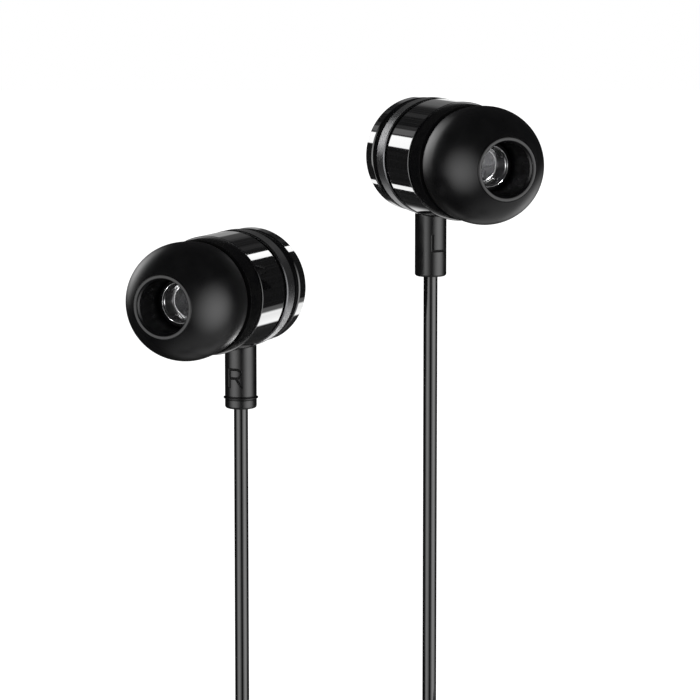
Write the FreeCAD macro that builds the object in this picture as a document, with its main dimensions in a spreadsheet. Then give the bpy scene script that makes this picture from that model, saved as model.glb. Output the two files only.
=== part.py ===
import FreeCAD, Part
import math
import os
import re
import Sketcher

# A pair of wired in-ear earphones, in millimetres.
# Row frame: the origin is the middle of the right ear tip's mouth, +X goes from the right earpiece to
# the left one, +Y goes away from the front and +Z is up.
# Each earpiece is turned about its own axis. Its stations are distances behind the mouth of its ear tip.

vector = FreeCAD.Vector
doc = FreeCAD.newDocument("WiredEarphones")
sheet = doc.addObject("Spreadsheet::Sheet", "Sizes")

# Driving dimensions: alias, value, meaning
driving = [
    ("yawAngle", 24.35, "turn of each earpiece outwards, degrees"),
    ("leftShiftX", 37.38, "left ear tip's mouth from the right one, sideways"),
    ("leftShiftY", 4.38, "left ear tip's mouth from the right one, away from the front"),
    ("leftShiftZ", 14.53, "left ear tip's mouth from the right one, up"),

    ("tipRadius", 6.55, "largest radius of the ear tip"),
    ("tipCrown", 5.6, "station of the largest radius"),
    ("tipNose", 6.6, "radius of the ear tip's front arc"),
    ("tipRearDrop", 0.22, "how far the skirt draws in at its rear edge"),
    ("tipLength", 8.17, "station of the skirt's rear edge"),
    ("skirtWall", 0.62, "wall of the skirt"),
    ("tipBore", 2.84, "radius of the ear tip's bore"),
    ("lipBead", 0.225, "radius of the rolled lip's bead"),
    ("lipMiddle", 3.325, "radius of the lip at the middle of its bead"),
    ("innerBead", 0.09, "radius of the small bead inside the lip"),
    ("innerBeadDepth", 0.4, "station of the small bead's foot"),
    ("sleeveWall", 0.61, "wall of the sleeve round the bore"),
    ("sleeveStop", 0.15, "gap between the sleeve and the front housing"),
    ("noseEdge", 0.05, "width of the step between the lip's bead and the ear tip's front arc"),
    ("noseGain", 0.05, "how much thicker the ear tip's wall is at the front arc than at the skirt"),
    ("skirtBevel", 0.14, "bevel of the skirt's inner rear edge"),
    ("hollowWidth", 0.75, "width of the hollow under the skirt at its front"),
    ("hollowRamp", 0.3, "length of the ramp from the hollow's front to the sleeve"),

    ("housingRadius", 6.47, "outer radius of the front housing's band"),
    ("housingFront", 8.75, "station of the front housing's face"),
    ("housingEdge", 0.08, "chamfer of the front housing's edge"),
    ("faceWall", 0.8, "wall of the front housing's face"),
    ("nozzleFront", 4.41, "station of the nozzle's rim"),
    ("nozzleClear", 0.06, "room between the nozzle's head and the ear tip's bore"),
    ("nozzleHead", 0.9, "length of the nozzle's head"),
    ("nozzleNeck", 0.16, "how far the neck behind the head is drawn in"),
    ("nozzleBevel", 0.12, "bevel of the nozzle's rim"),
    ("soundBore", 2.0, "radius of the sound channel"),
    ("fitClear", 0.02, "radial room between pieces that are pushed together"),

    ("grilleRadius", 2.36, "outer radius of the nozzle grille"),
    ("grilleRim", 0.2, "wall of the grille's rim"),
    ("grilleDepth", 2.1, "depth of the grille's plate behind its rim"),
    ("grillePlate", 0.45, "thickness of the grille's plate"),
    ("grilleHole", 0.62, "radius of the grille's holes"),
    ("grillePitch", 1.02, "distance of the grille's holes from the axis"),
    ("grilleHoles", 3, "number of the grille's holes"),
    ("grilleTurn", 30.0, "turn of the grille in the nozzle, degrees"),

    ("barrelRadius", 6.65, "outer radius of the barrel"),
    ("barrelWall", 0.47, "wall of the barrel"),
    ("barrelFront", 11.29, "station of the barrel's front edge"),
    ("barrelRear", 16.87, "station of the barrel's rear edge"),
    ("edgeBevel", 0.12, "bevel of the metal edges"),
    ("spigotRear", 13.4, "station where the front housing's spigot ends"),

    ("driverRadius", 5.0, "outer radius of the driver"),
    ("driverClear", 0.05, "radial room round the driver"),
    ("gasketHeight", 0.2, "thickness of the driver's gasket"),
    ("gasketWidth", 0.8, "width of the driver's gasket"),
    ("coverHeight", 0.2, "thickness of the driver's front cover"),
    ("coverHole", 0.55, "radius of the cover's holes"),
    ("coverPitch", 2.9, "distance of the cover's holes from the axis"),
    ("coverHoles", 6, "number of the cover's holes"),
    ("domeGap", 0.5, "room between the cover and the diaphragm's dome"),
    ("domeRise", 0.5, "height of the diaphragm's dome"),
    ("rollRise", 0.35, "height of the diaphragm's half roll"),
    ("filmThickness", 0.08, "thickness of the diaphragm"),
    ("rollWidth", 1.54, "width of the diaphragm's half roll"),
    ("coilWall", 0.26, "wall of the voice coil"),
    ("coilHeight", 1.37, "height of the voice coil"),
    ("coilSeat", 0.02, "width that the diaphragm's flat has on each side of the coil"),
    ("coilRoom", 0.16, "radial room on each side of the voice coil"),
    ("filmClear", 0.1, "room round the diaphragm"),
    ("frameWall", 0.5, "wall of the driver's frame"),
    ("poleHeight", 0.5, "thickness of the pole plate"),
    ("poleDepth", 0.4, "pole plate's front behind the diaphragm's flat"),
    ("magnetInset", 0.1, "how much smaller the magnet's radius is than the pole plate's"),
    ("magnetHeight", 1.2, "thickness of the magnet"),
    ("yokeWall", 0.55, "wall of the yoke"),
    ("yokeFloor", 0.5, "floor of the yoke"),
    ("yokeVent", 0.45, "radius of the vent in the yoke's floor"),
    ("webHeight", 0.9, "thickness of the frame's web"),
    ("webDepth", 1.15, "web's front behind the diaphragm's flat"),
    ("ventRadius", 0.4, "radius of the frame's vents"),
    ("ventCount", 8, "number of the frame's vents"),
    ("paperHeight", 0.12, "thickness of the damping paper"),
    ("paperClear", 0.08, "radial room between the damping paper and the yoke"),
    ("boardInset", 0.35, "how much smaller the terminal board's radius is than the yoke's"),
    ("boardHeight", 0.4, "thickness of the terminal board"),

    ("carrierFront", 14.8, "station where the rear housing starts, inside the barrel"),
    ("carrierStep", 6.35, "radius of the rear housing where it shows in the groove"),
    ("carrierWall", 0.8, "wall of the rear housing under the trim ring"),
    ("ringRadius", 6.68, "outer radius of the trim ring"),
    ("ringInner", 6.12, "inner radius of the trim ring"),
    ("ringFront", 17.62, "station of the trim ring's front edge"),
    ("ringRear", 19.5, "station of the trim ring's rear edge"),
    ("capRadius", 6.55, "outer radius of the rear cap"),
    ("capFront", 21.0, "station of the rear cap's front edge"),
    ("capRear", 22.9, "station of the rear cap's back"),
    ("capWall", 1.2, "wall of the rear cap's back"),
    ("capBevel", 0.3, "bevel round the rear cap's back"),
    ("capDish", 0.12, "depth of the shallow dish in the rear cap's back"),
    ("dishRim", 0.95, "width of the rim round the dish"),
    ("capSpigot", 1.2, "length of the rear cap's spigot inside the rear housing"),
    ("spigotWall", 0.55, "wall of the rear cap's spigot"),
    ("crimpRoom", 1.4, "height of the pocket for the crimp in the cap's spigot"),
    ("cutSpare", 1.0, "how far the outlet's hole is cut past the outside"),

    ("outletStation", 19.2, "station of the boot's axis"),
    ("bootRadius", 1.8, "radius of the boot"),
    ("bootLength", 13.68, "boot's lower end below the earpiece's axis"),
    ("bootRound", 0.3, "rounding of the boot's lower end"),
    ("bootSeat", 0.04, "room between the boot's collar and the trim ring"),
    ("stemRadius", 1.0, "radius of the boot's stem inside the earpiece"),
    ("stemTop", 4.35, "boot's upper end below the earpiece's axis"),
    ("stemOverlap", 1.0, "length of the stem that is one with the boot's collar"),
    ("flangeRadius", 1.5, "radius of the flange at the stem's end"),
    ("flangeHeight", 0.6, "height of the flange at the stem's end"),
    ("bootBore", 0.62, "radius of the boot's bore"),
    ("ridgeRadius", 1.97, "radius of the ridge on the right boot"),
    ("ridgeHeight", 0.24, "height of the ridge on the right boot"),
    ("ridgeRise", 1.22, "ridge's middle above the boot's lower end"),
    ("crimpWall", 0.4, "wall of the crimp on the lead wires"),
    ("crimpHeight", 0.9, "height of the crimp"),
    ("wireRadius", 0.22, "radius of a lead wire"),
    ("wireSpacing", 0.6, "distance between the two lead wires"),
    ("wireBend", 1.2, "radius of the lead wires' bend"),
    ("wireLevel", 1.9, "level of the lead wires at the board, below the earpiece's axis"),

    ("branchDiameter", 1.6, "diameter of the cord from each earpiece"),
    ("branchLength", 340.0, "length of each of these cords"),
    ("mainDiameter", 2.0, "diameter of the main cord"),
    ("mainLength", 860.0, "length of the main cord"),
    ("branchHankTop", -56.5, "level where the straight runs of the two upper hanks start"),
    ("splitterTop", -106.0, "level of the splitter's upper end"),
    ("splitterLength", 11.0, "length of the splitter"),
    ("socketSpacing", 2.2, "distance between the two cords where they enter the splitter"),
    ("socketRadius", 1.55, "radius of the splitter's upper end round each cord"),
    ("splitterFoot", 1.75, "radius of the splitter's lower end"),
    ("splitterStraight", 3.85, "length of the splitter that keeps its upper shape"),
    ("footSpread", 0.176, "half the width of the flat on the splitter's lower end"),
    ("mainHankTop", -128.6, "level where the straight runs of the main hank start"),
    ("tieHeight", 4.0, "height of the ties of the two upper hanks"),
    ("mainTieHeight", 6.0, "height of the main hank's tie"),
    ("tieWall", 0.7, "thickness of the ties"),
    ("tieRoom", 0.3, "room between a tie and the cord"),
    ("loopLeg", 7.8, "length of each leg of the bend that turns the main cord down to its plug"),

    ("reliefLength", 9.0, "length of the plug's strain relief"),
    ("reliefTopRadius", 1.5, "radius of the relief where the cord enters it"),
    ("reliefFootRadius", 1.95, "radius of the relief at the plug's body"),
    ("plugBodyRadius", 2.75, "radius of the plug's body"),
    ("plugBodyLength", 14.0, "length of the plug's body"),
    ("plugBevel", 0.6, "bevel of the plug's body"),
    ("pinRadius", 1.75, "radius of the plug's pin"),
    ("sleeveLength", 4.0, "length of the sleeve contact"),
    ("collarLength", 0.5, "length of each insulating collar"),
    ("contactLength", 2.5, "length of the ring contact"),
    ("tipContactLength", 6.5, "length of the tip contact"),
    ("tipStraight", 2.73, "length of the tip contact's straight part"),
    ("tipNeck", 3.64, "tip contact's neck from its foot"),
    ("tipNeckRadius", 1.26, "radius of the tip contact's neck"),
    ("tipBulge", 4.55, "tip contact's bulge from its foot"),
    ("tipBulgeRadius", 1.645, "radius of the tip contact's bulge"),
    ("tipConeEnd", 6.24, "end of the tip contact's cone from its foot"),
    ("tipConeRadius", 0.63, "radius at the end of the tip contact's cone"),
    ("tipEndRadius", 0.35, "radius of the tip contact's flat end"),
    ("contactCore", 0.9, "radius of the core inside the contacts"),
]
for row, (alias, value, meaning) in enumerate(driving, start=1):
    sheet.set(f"A{row}", meaning)
    sheet.set(f"B{row}", str(value))
    sheet.setAlias(f"B{row}", alias)
doc.recompute()
aliases = {alias for alias, value, meaning in driving}

# How the put-away hanks are wound: the distances of the runs from the hank's middle, the order in which
# the cord passes them, the runs on which it climbs a layer, the layers' spacing and the waist's draw
branchRadii = [4.15, 5.15, 6.15, 7.15]
branchOrder = [3, 2, 1, 0, 1, 2, 3]
branchClimbs = {3}
branchStep = 2.0
branchWaist = 2.2
mainRadii = [6.0, 7.35, 8.7, 10.05, 11.4]
mainOrder = [3, 2, 1, 0, 1, 2, 3, 2, 1, 0, 1, 2, 3, 4]
mainClimbs = {3, 6, 9}
mainStep = 2.5
mainWaist = 4.0

# The way from a branch's hank to the splitter: shares of its shift and of its drop, chosen by hand
branchRoute = [(0, 0), (0, 0.2), (0.26, 0.41), (0.7, 0.62), (1, 0.82), (1, 1)]

# The lean of the bend's legs over the plug, and the share of a run that an arc may take at each end
loopLean = math.radians(60)
arcShare = 0.45

# Tolerances of the model's own tests: a length that counts as nothing, a volume's share, the distance of
# the points where a hank's gap is measured, and the diameters along the cord that count as neighbours
tiny = 1e-7
volumeShare = 0.01
gapStep = 0.6
neighbours = 4


def bound(expression):
    # An expression in plain aliases, as the sheet's own expression
    return re.sub(r"[A-Za-z]\w*", lambda word: "Sizes." + word[0] if word[0] in aliases else word[0],
                  str(expression))


def size(expression):
    return float(sheet.evalExpression(bound(expression)))


# Placements of the two earpieces

def earpiece_placement(side):
    yaw = math.radians(size("yawAngle"))
    inward = 1 if side == "right" else -1
    back = vector(inward * math.sin(yaw), math.cos(yaw), 0)
    up = vector(0, 0, 1)
    mouth = vector(0, 0, 0)
    if side == "left":
        mouth = vector(size("leftShiftX"), size("leftShiftY"), size("leftShiftZ"))
    return FreeCAD.Placement(mouth, FreeCAD.Rotation(up.cross(back), up, back, "ZXY"))


def upright_placement(base):
    return FreeCAD.Placement(base, FreeCAD.Rotation())


def hanging_placement(base):
    # Local Z points down, so that lengths along a hanging piece are positive
    return FreeCAD.Placement(base, FreeCAD.Rotation(vector(1, 0, 0), 180))


# Sketches and turned bodies

def origin_feature(body, role):
    return next(f for f in body.Origin.OriginFeatures if f.Role == role)


def new_sketch(body, plane):
    sketch = body.newObject("Sketcher::SketchObject", "Sketch")
    sketch.AttachmentSupport = [(origin_feature(body, plane), "")]
    sketch.MapMode = "FlatFace"
    return sketch


def constrain(sketch, kind, references, expression):
    value = size(expression)
    index = sketch.addConstraint(Sketcher.Constraint(kind, *references, value))
    sketch.setExpression(f"Constraints[{index}]", bound(expression))


def fix_point(sketch, geometry, end, across, along):
    # Across is measured from the vertical axis and along from the horizontal one
    if abs(size(across)) < tiny:
        sketch.addConstraint(Sketcher.Constraint("PointOnObject", geometry, end, -2))
    else:
        constrain(sketch, "DistanceX", (-1, 1, geometry, end), across)
    if abs(size(along)) < tiny:
        sketch.addConstraint(Sketcher.Constraint("PointOnObject", geometry, end, -1))
    else:
        constrain(sketch, "DistanceY", (-1, 1, geometry, end), along)


def arc_between(first, last, radius, side):
    # The arc of that radius whose centre lies left or right of the way from first to last
    chord = last - first
    middle = (first + last) * 0.5
    left = vector(-chord.y, chord.x, 0)
    left.normalize()
    reach = math.sqrt(max(0.0, radius ** 2 - (chord.Length / 2) ** 2))
    turn = 1 if side == "left" else -1
    centre = middle + left * (reach * turn)
    begin, end = (first, last) if side == "left" else (last, first)
    start_angle = math.atan2(begin.y - centre.y, begin.x - centre.x)
    end_angle = math.atan2(end.y - centre.y, end.x - centre.x)
    if end_angle <= start_angle:
        end_angle += 2 * math.pi
    return Part.ArcOfCircle(Part.Circle(centre, vector(0, 0, 1), radius), start_angle, end_angle)


def draw_outline(sketch, corners):
    # Each corner is (across, along), or (across, along, radius, side) where an arc starts
    points = [vector(size(c[0]), size(c[1]), 0) for c in corners]
    ends = []
    for i, corner in enumerate(corners):
        first, last = points[i], points[(i + 1) % len(points)]
        if len(corner) == 4:
            geometry = sketch.addGeometry(arc_between(first, last, size(corner[2]), corner[3]), False)
            ends.append((geometry, 1, 2) if corner[3] == "left" else (geometry, 2, 1))
        else:
            geometry = sketch.addGeometry(Part.LineSegment(first, last), False)
            ends.append((geometry, 1, 2))
    for i, corner in enumerate(corners):
        geometry, begin, end = ends[i]
        following, start, stop = ends[(i + 1) % len(ends)]
        sketch.addConstraint(Sketcher.Constraint("Coincident", geometry, end, following, start))
    for i, corner in enumerate(corners):
        geometry, begin, end = ends[i]
        fix_point(sketch, geometry, begin, corner[0], corner[1])
        if len(corner) == 4:
            chord = (points[(i + 1) % len(points)] - points[i]).Length
            if abs(2 * size(corner[2]) - chord) > tiny:
                constrain(sketch, "Radius", (geometry,), corner[2])


def draw_circle(sketch, along, radius):
    circle = Part.Circle(vector(0, size(along), 0), vector(0, 0, 1), size(radius))
    geometry = sketch.addGeometry(circle, False)
    sketch.addConstraint(Sketcher.Constraint("PointOnObject", geometry, 3, -2))
    constrain(sketch, "DistanceY", (-1, 1, geometry, 3), along)
    constrain(sketch, "Radius", (geometry,), radius)


def turned(label, corners, placement):
    body = doc.addObject("PartDesign::Body", "Body")
    body.Label = label
    sketch = new_sketch(body, "XZ_Plane")
    draw_outline(sketch, corners)
    feature = body.newObject("PartDesign::Revolution", "Revolution")
    feature.Profile = sketch
    feature.ReferenceAxis = (sketch, ["V_Axis"])
    feature.Angle = 360
    body.Placement = placement
    doc.recompute()
    return body


def drill_ring(body, radius, pitch, count):
    # One hole through the body along its axis, repeated round the axis
    faces = len(body.Shape.Faces)
    sketch = new_sketch(body, "XY_Plane")
    draw_circle(sketch, pitch, radius)
    hole = body.newObject("PartDesign::Pocket", "Hole")
    hole.Profile = sketch
    hole.Type = "ThroughAll"
    hole.Midplane = True
    doc.recompute()
    ring = body.newObject("PartDesign::PolarPattern", "Holes")
    ring.Originals = [hole]
    ring.Axis = (origin_feature(body, "Z_Axis"), [""])
    ring.Angle = 360
    ring.setExpression("Occurrences", bound(count))
    body.Tip = ring
    doc.recompute()
    if len(body.Shape.Faces) < faces + size(count):
        raise RuntimeError(f"{body.Label} has no holes")


def bore_below(body, station, radius, low, high):
    # A round hole square to the axis, from one depth below it to another
    before = body.Shape.Volume
    sketch = new_sketch(body, "XZ_Plane")
    sketch.AttachmentOffset = FreeCAD.Placement(vector(0, 0, size(low)), FreeCAD.Rotation())
    sketch.setExpression("AttachmentOffset.Base.z", bound(low))
    draw_circle(sketch, station, radius)
    hole = body.newObject("PartDesign::Pocket", "Outlet")
    hole.Profile = sketch
    hole.Reversed = True
    hole.Length = size(f"{high} - ({low})")
    hole.setExpression("Length", bound(f"{high} - ({low})"))
    doc.recompute()
    if body.Shape.Volume >= before:
        raise RuntimeError(f"{body.Label} has no outlet")


def shaped(label, shape):
    feature = doc.addObject("Part::Feature", "Feature")
    feature.Label = label
    feature.Shape = shape
    return feature


# Stations and radii that follow from the driving dimensions

skirtRear = "tipRadius - tipRearDrop"
skirtArc = "((tipLength - tipCrown)^2 + tipRearDrop^2) / (2 * tipRearDrop)"
sleeveRear = "housingFront - sleeveStop"
sleeveOuter = "tipBore + sleeveWall"
lipOuter = "lipMiddle + lipBead"
noseFoot = f"{lipOuter} + noseEdge"
noseStation = f"tipCrown - sqrt(tipNose^2 - (tipNose - tipRadius + {noseFoot})^2)"
headRadius = "tipBore - nozzleClear"
neckRadius = f"{headRadius} - nozzleNeck"
spigotRadius = "barrelRadius - barrelWall - fitClear"
driverBay = "driverRadius + driverClear"
gasketFront = "housingFront + faceWall"
coverFront = f"{gasketFront} + gasketHeight"
frameFront = f"{coverFront} + coverHeight"
domeTop = f"{frameFront} + domeGap"
filmFlat = f"{domeTop} + domeRise"
filmEdge = "driverRadius - frameWall - filmClear"
rollInner = f"{filmEdge} - rollWidth"
coilOuter = f"{rollInner} - coilSeat"
coilInner = f"{coilOuter} - coilWall"
domeEdge = f"{coilInner} - coilSeat"
domeArc = f"(({domeEdge})^2 + domeRise^2) / (2 * domeRise)"
rollArc = "((rollWidth / 2)^2 + rollRise^2) / (2 * rollRise)"
poleRadius = f"{coilInner} - coilRoom"
poleFront = f"{filmFlat} + poleDepth"
magnetFront = f"{poleFront} + poleHeight"
yokeInner = f"{coilOuter} + coilRoom"
yokeOuter = f"{yokeInner} + yokeWall"
boardRadius = f"{yokeOuter} - boardInset"
yokeBottom = f"{magnetFront} + magnetHeight"
yokeRear = f"{yokeBottom} + yokeFloor"
webFront = f"{filmFlat} + webDepth"
webRear = f"{webFront} + webHeight"
ventPitch = f"(({yokeOuter}) + driverRadius - frameWall) / 2"
carrierInner = "ringInner - fitClear - carrierWall"
capSpigotOuter = f"{carrierInner} - fitClear"
capSpigotInner = f"{capSpigotOuter} - spigotWall"
capSpigotFront = "ringRear - capSpigot"
wireStart = f"{yokeRear} + boardHeight"

# Pieces of one earpiece

def make_ear_tip(side, place):
    lipInner = "lipMiddle - lipBead"
    innerBeadOuter = "tipBore + 2 * innerBead"
    hollowFront = f"{sleeveOuter} + hollowWidth"
    hollowArc = "tipNose - skirtWall - noseGain"
    hollowCentre = "tipRadius - tipNose"
    hollowStart = f"tipCrown - sqrt(({hollowArc})^2 - ({hollowFront} - ({hollowCentre}))^2)"
    hollowCrown = f"{hollowCentre} + {hollowArc}"
    turned(f"{side}_ear_tip", [
        (noseFoot, noseStation, "tipNose", "left"),
        ("tipRadius", "tipCrown", skirtArc, "left"),
        (skirtRear, "tipLength"),
        (f"{skirtRear} - skirtWall + skirtBevel", "tipLength"),
        (f"{skirtRear} - skirtWall", "tipLength - skirtBevel"),
        (hollowCrown, "tipCrown", hollowArc, "right"),
        (hollowFront, hollowStart),
        (sleeveOuter, f"{hollowStart} + hollowRamp"),
        (sleeveOuter, sleeveRear),
        ("tipBore", sleeveRear),
        ("tipBore", "innerBeadDepth", "innerBead", "left"),
        (innerBeadOuter, "innerBeadDepth"),
        (lipInner, "lipBead", "lipBead", "left"),
        (lipOuter, "lipBead"),
    ], place)


def make_front_housing(side, place):
    seatRadius = "grilleRadius + fitClear"
    seatRear = "nozzleFront + grilleDepth + grillePlate"
    turned(f"{side}_front_housing", [
        (seatRadius, "nozzleFront"),
        (f"{headRadius} - nozzleBevel", "nozzleFront"),
        (headRadius, "nozzleFront + nozzleBevel"),
        (headRadius, "nozzleFront + nozzleHead"),
        (neckRadius, "nozzleFront + nozzleHead + nozzleNeck"),
        (neckRadius, "housingFront"),
        ("housingRadius - housingEdge", "housingFront"),
        ("housingRadius", "housingFront + housingEdge"),
        ("housingRadius", "barrelFront"),
        (spigotRadius, "barrelFront"),
        (spigotRadius, "spigotRear"),
        (driverBay, "spigotRear"),
        (driverBay, gasketFront),
        ("soundBore", gasketFront),
        ("soundBore", seatRear),
        (seatRadius, seatRear),
    ], place)


def make_nozzle_grille(side, place):
    rimInner = "grilleRadius - grilleRim"
    turn = FreeCAD.Placement(vector(0, 0, 0), FreeCAD.Rotation(vector(0, 0, 1), size("grilleTurn")))
    grille = turned(f"{side}_nozzle_grille", [
        ("0", "nozzleFront + grilleDepth"),
        (rimInner, "nozzleFront + grilleDepth"),
        (rimInner, "nozzleFront"),
        ("grilleRadius", "nozzleFront"),
        ("grilleRadius", "nozzleFront + grilleDepth + grillePlate"),
        ("0", "nozzleFront + grilleDepth + grillePlate"),
    ], place.multiply(turn))
    drill_ring(grille, "grilleHole", "grillePitch", "grilleHoles")


def make_driver(side, place):
    turned(f"{side}_driver_gasket", [
        ("driverRadius - gasketWidth", gasketFront),
        ("driverRadius", gasketFront),
        ("driverRadius", coverFront),
        ("driverRadius - gasketWidth", coverFront),
    ], place)
    cover = turned(f"{side}_driver_cover", [
        ("0", coverFront),
        ("driverRadius", coverFront),
        ("driverRadius", frameFront),
        ("0", frameFront),
    ], place)
    drill_ring(cover, "coverHole", "coverPitch", "coverHoles")
    turned(f"{side}_diaphragm", [
        ("0", domeTop, domeArc, "left"),
        (domeEdge, filmFlat),
        (rollInner, filmFlat, rollArc, "left"),
        (filmEdge, filmFlat),
        (filmEdge, f"{filmFlat} + filmThickness", rollArc, "right"),
        (rollInner, f"{filmFlat} + filmThickness"),
        (domeEdge, f"{filmFlat} + filmThickness", domeArc, "right"),
        ("0", f"{domeTop} + filmThickness"),
    ], place)
    turned(f"{side}_voice_coil", [
        (coilInner, f"{filmFlat} + filmThickness"),
        (coilOuter, f"{filmFlat} + filmThickness"),
        (coilOuter, f"{filmFlat} + filmThickness + coilHeight"),
        (coilInner, f"{filmFlat} + filmThickness + coilHeight"),
    ], place)
    turned(f"{side}_pole_plate", [
        ("0", poleFront),
        (poleRadius, poleFront),
        (poleRadius, magnetFront),
        ("0", magnetFront),
    ], place)
    turned(f"{side}_magnet", [
        ("0", magnetFront),
        (f"{poleRadius} - magnetInset", magnetFront),
        (f"{poleRadius} - magnetInset", yokeBottom),
        ("0", yokeBottom),
    ], place)
    turned(f"{side}_yoke", [
        (yokeInner, poleFront),
        (yokeOuter, poleFront),
        (yokeOuter, yokeRear),
        ("yokeVent", yokeRear),
        ("yokeVent", yokeBottom),
        (yokeInner, yokeBottom),
    ], place)
    frame = turned(f"{side}_driver_frame", [
        ("driverRadius - frameWall", frameFront),
        ("driverRadius", frameFront),
        ("driverRadius", webRear),
        (f"{yokeOuter} + fitClear", webRear),
        (f"{yokeOuter} + fitClear", webFront),
        ("driverRadius - frameWall", webFront),
    ], place)
    drill_ring(frame, "ventRadius", ventPitch, "ventCount")
    turned(f"{side}_damping_paper", [
        (f"{yokeOuter} + paperClear", webRear),
        ("driverRadius", webRear),
        ("driverRadius", f"{webRear} + paperHeight"),
        (f"{yokeOuter} + paperClear", f"{webRear} + paperHeight"),
    ], place)
    turned(f"{side}_terminal_board", [
        ("yokeVent", yokeRear),
        (boardRadius, yokeRear),
        (boardRadius, f"{yokeRear} + boardHeight"),
        ("yokeVent", f"{yokeRear} + boardHeight"),
    ], place)


def make_shell(side, place):
    turned(f"{side}_barrel", [
        ("barrelRadius - barrelWall", "barrelFront"),
        ("barrelRadius - edgeBevel", "barrelFront"),
        ("barrelRadius", "barrelFront + edgeBevel"),
        ("barrelRadius", "barrelRear - edgeBevel"),
        ("barrelRadius - edgeBevel", "barrelRear"),
        ("barrelRadius - barrelWall", "barrelRear"),
    ], place)
    carrier = turned(f"{side}_rear_housing", [
        (carrierInner, "carrierFront"),
        (spigotRadius, "carrierFront"),
        (spigotRadius, "barrelRear"),
        ("carrierStep", "barrelRear"),
        ("carrierStep", "ringFront"),
        ("ringInner - fitClear", "ringFront"),
        ("ringInner - fitClear", "ringRear"),
        (carrierInner, "ringRear"),
    ], place)
    ring = turned(f"{side}_trim_ring", [
        ("ringInner", "ringFront"),
        ("ringRadius - edgeBevel", "ringFront"),
        ("ringRadius", "ringFront + edgeBevel"),
        ("ringRadius", "ringRear - edgeBevel"),
        ("ringRadius - edgeBevel", "ringRear"),
        ("ringInner", "ringRear"),
    ], place)
    cap = turned(f"{side}_rear_cap", [
        ("0", "capRear - capWall"),
        (capSpigotInner, "capRear - capWall"),
        (capSpigotInner, capSpigotFront),
        (capSpigotOuter, capSpigotFront),
        (capSpigotOuter, "ringRear"),
        ("carrierStep", "ringRear"),
        ("carrierStep", "capFront"),
        ("capRadius - edgeBevel", "capFront"),
        ("capRadius", "capFront + edgeBevel"),
        ("capRadius", "capRear - capBevel"),
        ("capRadius - capBevel", "capRear"),
        ("capRadius - dishRim", "capRear"),
        ("capRadius - dishRim - capDish", "capRear - capDish"),
        ("0", "capRear - capDish"),
    ], place)
    stemHole = "stemRadius + bootSeat"
    flangeHole = "flangeRadius + 2 * bootSeat"
    for piece in (carrier, ring, cap):
        bore_below(piece, "outletStation", stemHole, "stemTop", "ringRadius + cutSpare")
    bore_below(cap, "outletStation", flangeHole, "stemTop - crimpRoom", f"{carrierInner} + bootSeat")


def make_boot(side, place):
    foot = place.multVec(vector(0, -size("bootLength"), size("outletStation")))
    rise = "bootLength - stemTop"
    collarTop = "bootLength - ringRadius + flangeRadius"
    corners = [
        ("bootBore", "0"),
        ("bootRadius - bootRound", "0", "bootRound", "left"),
        ("bootRadius", "bootRound"),
    ]
    if side == "right":
        corners += [
            ("bootRadius", "ridgeRise - ridgeHeight / 2"),
            ("ridgeRadius", "ridgeRise - ridgeHeight / 2"),
            ("ridgeRadius", "ridgeRise + ridgeHeight / 2"),
            ("bootRadius", "ridgeRise + ridgeHeight / 2"),
        ]
    corners += [
        ("bootRadius", collarTop),
        ("bootBore", collarTop),
    ]
    collar = turned(f"{side}_boot_collar", corners, upright_placement(foot))
    inside = doc.addObject("Part::Cylinder", "EarpieceSpace")
    inside.setExpression("Radius", bound("ringRadius + bootSeat"))
    inside.setExpression("Height", bound("capRear"))
    inside.Placement = place
    cut = doc.addObject("Part::Cut", "CollarCut")
    cut.Base = collar
    cut.Tool = inside
    stem = turned(f"{side}_boot_stem", [
        ("bootBore", "bootLength - ringRadius - stemOverlap"),
        ("stemRadius", "bootLength - ringRadius - stemOverlap"),
        ("stemRadius", f"{rise} - flangeHeight"),
        ("flangeRadius", f"{rise} - flangeHeight"),
        ("flangeRadius", rise),
        ("bootBore", rise),
    ], upright_placement(foot))
    boot = doc.addObject("Part::Fuse", "Boot")
    boot.Base = cut
    boot.Tool = stem
    boot.Label = f"{side}_boot"
    turned(f"{side}_crimp", [
        ("bootBore", rise),
        ("bootBore + crimpWall", rise),
        ("bootBore + crimpWall", f"{rise} + crimpHeight"),
        ("bootBore", f"{rise} + crimpHeight"),
    ], upright_placement(foot))
    return foot


def make_lead_wires(side, place):
    # Two wires that rise through the boot's bore and turn forwards to the board
    outlet = size("outletStation")
    low = -size("bootLength")
    level = -size("wireLevel")
    bend = size("wireBend")
    front = size(wireStart)
    wires = []
    for offset in (-size("wireSpacing") / 2, size("wireSpacing") / 2):
        corner = vector(offset, level - bend, outlet - bend)
        knee = vector(offset, level - bend * (1 - math.sqrt(0.5)), outlet - bend * (1 - math.sqrt(0.5)))
        rise_end = vector(offset, level - bend, outlet)
        turn_end = vector(offset, level, outlet - bend)
        path = Part.Wire([
            Part.LineSegment(vector(offset, low, outlet), rise_end).toShape(),
            Part.Arc(rise_end, corner + (knee - corner), turn_end).toShape(),
            Part.LineSegment(turn_end, vector(offset, level, front)).toShape(),
        ])
        start = Part.Wire(Part.makeCircle(size("wireRadius"), vector(offset, low, outlet), vector(0, 1, 0)))
        wires.append(path.makePipeShell([start], True, False))
    shape = Part.makeCompound(wires)
    shape.Placement = place
    shaped(f"{side}_lead_wires", shape)


# Cords: tubes along straight runs and tangent arcs

def tube(path, radius):
    first = path.Edges[0]
    start = first.valueAt(first.FirstParameter)
    direction = first.tangentAt(first.FirstParameter)
    ring = Part.Wire(Part.makeCircle(radius, start, direction))
    solid = path.makePipeShell([ring], True, False)
    expected = math.pi * radius ** 2 * path.Length
    if abs(solid.Volume - expected) > volumeShare * expected:
        raise RuntimeError(f"a tube holds {solid.Volume:.2f} in place of {expected:.2f}")
    return solid


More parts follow.
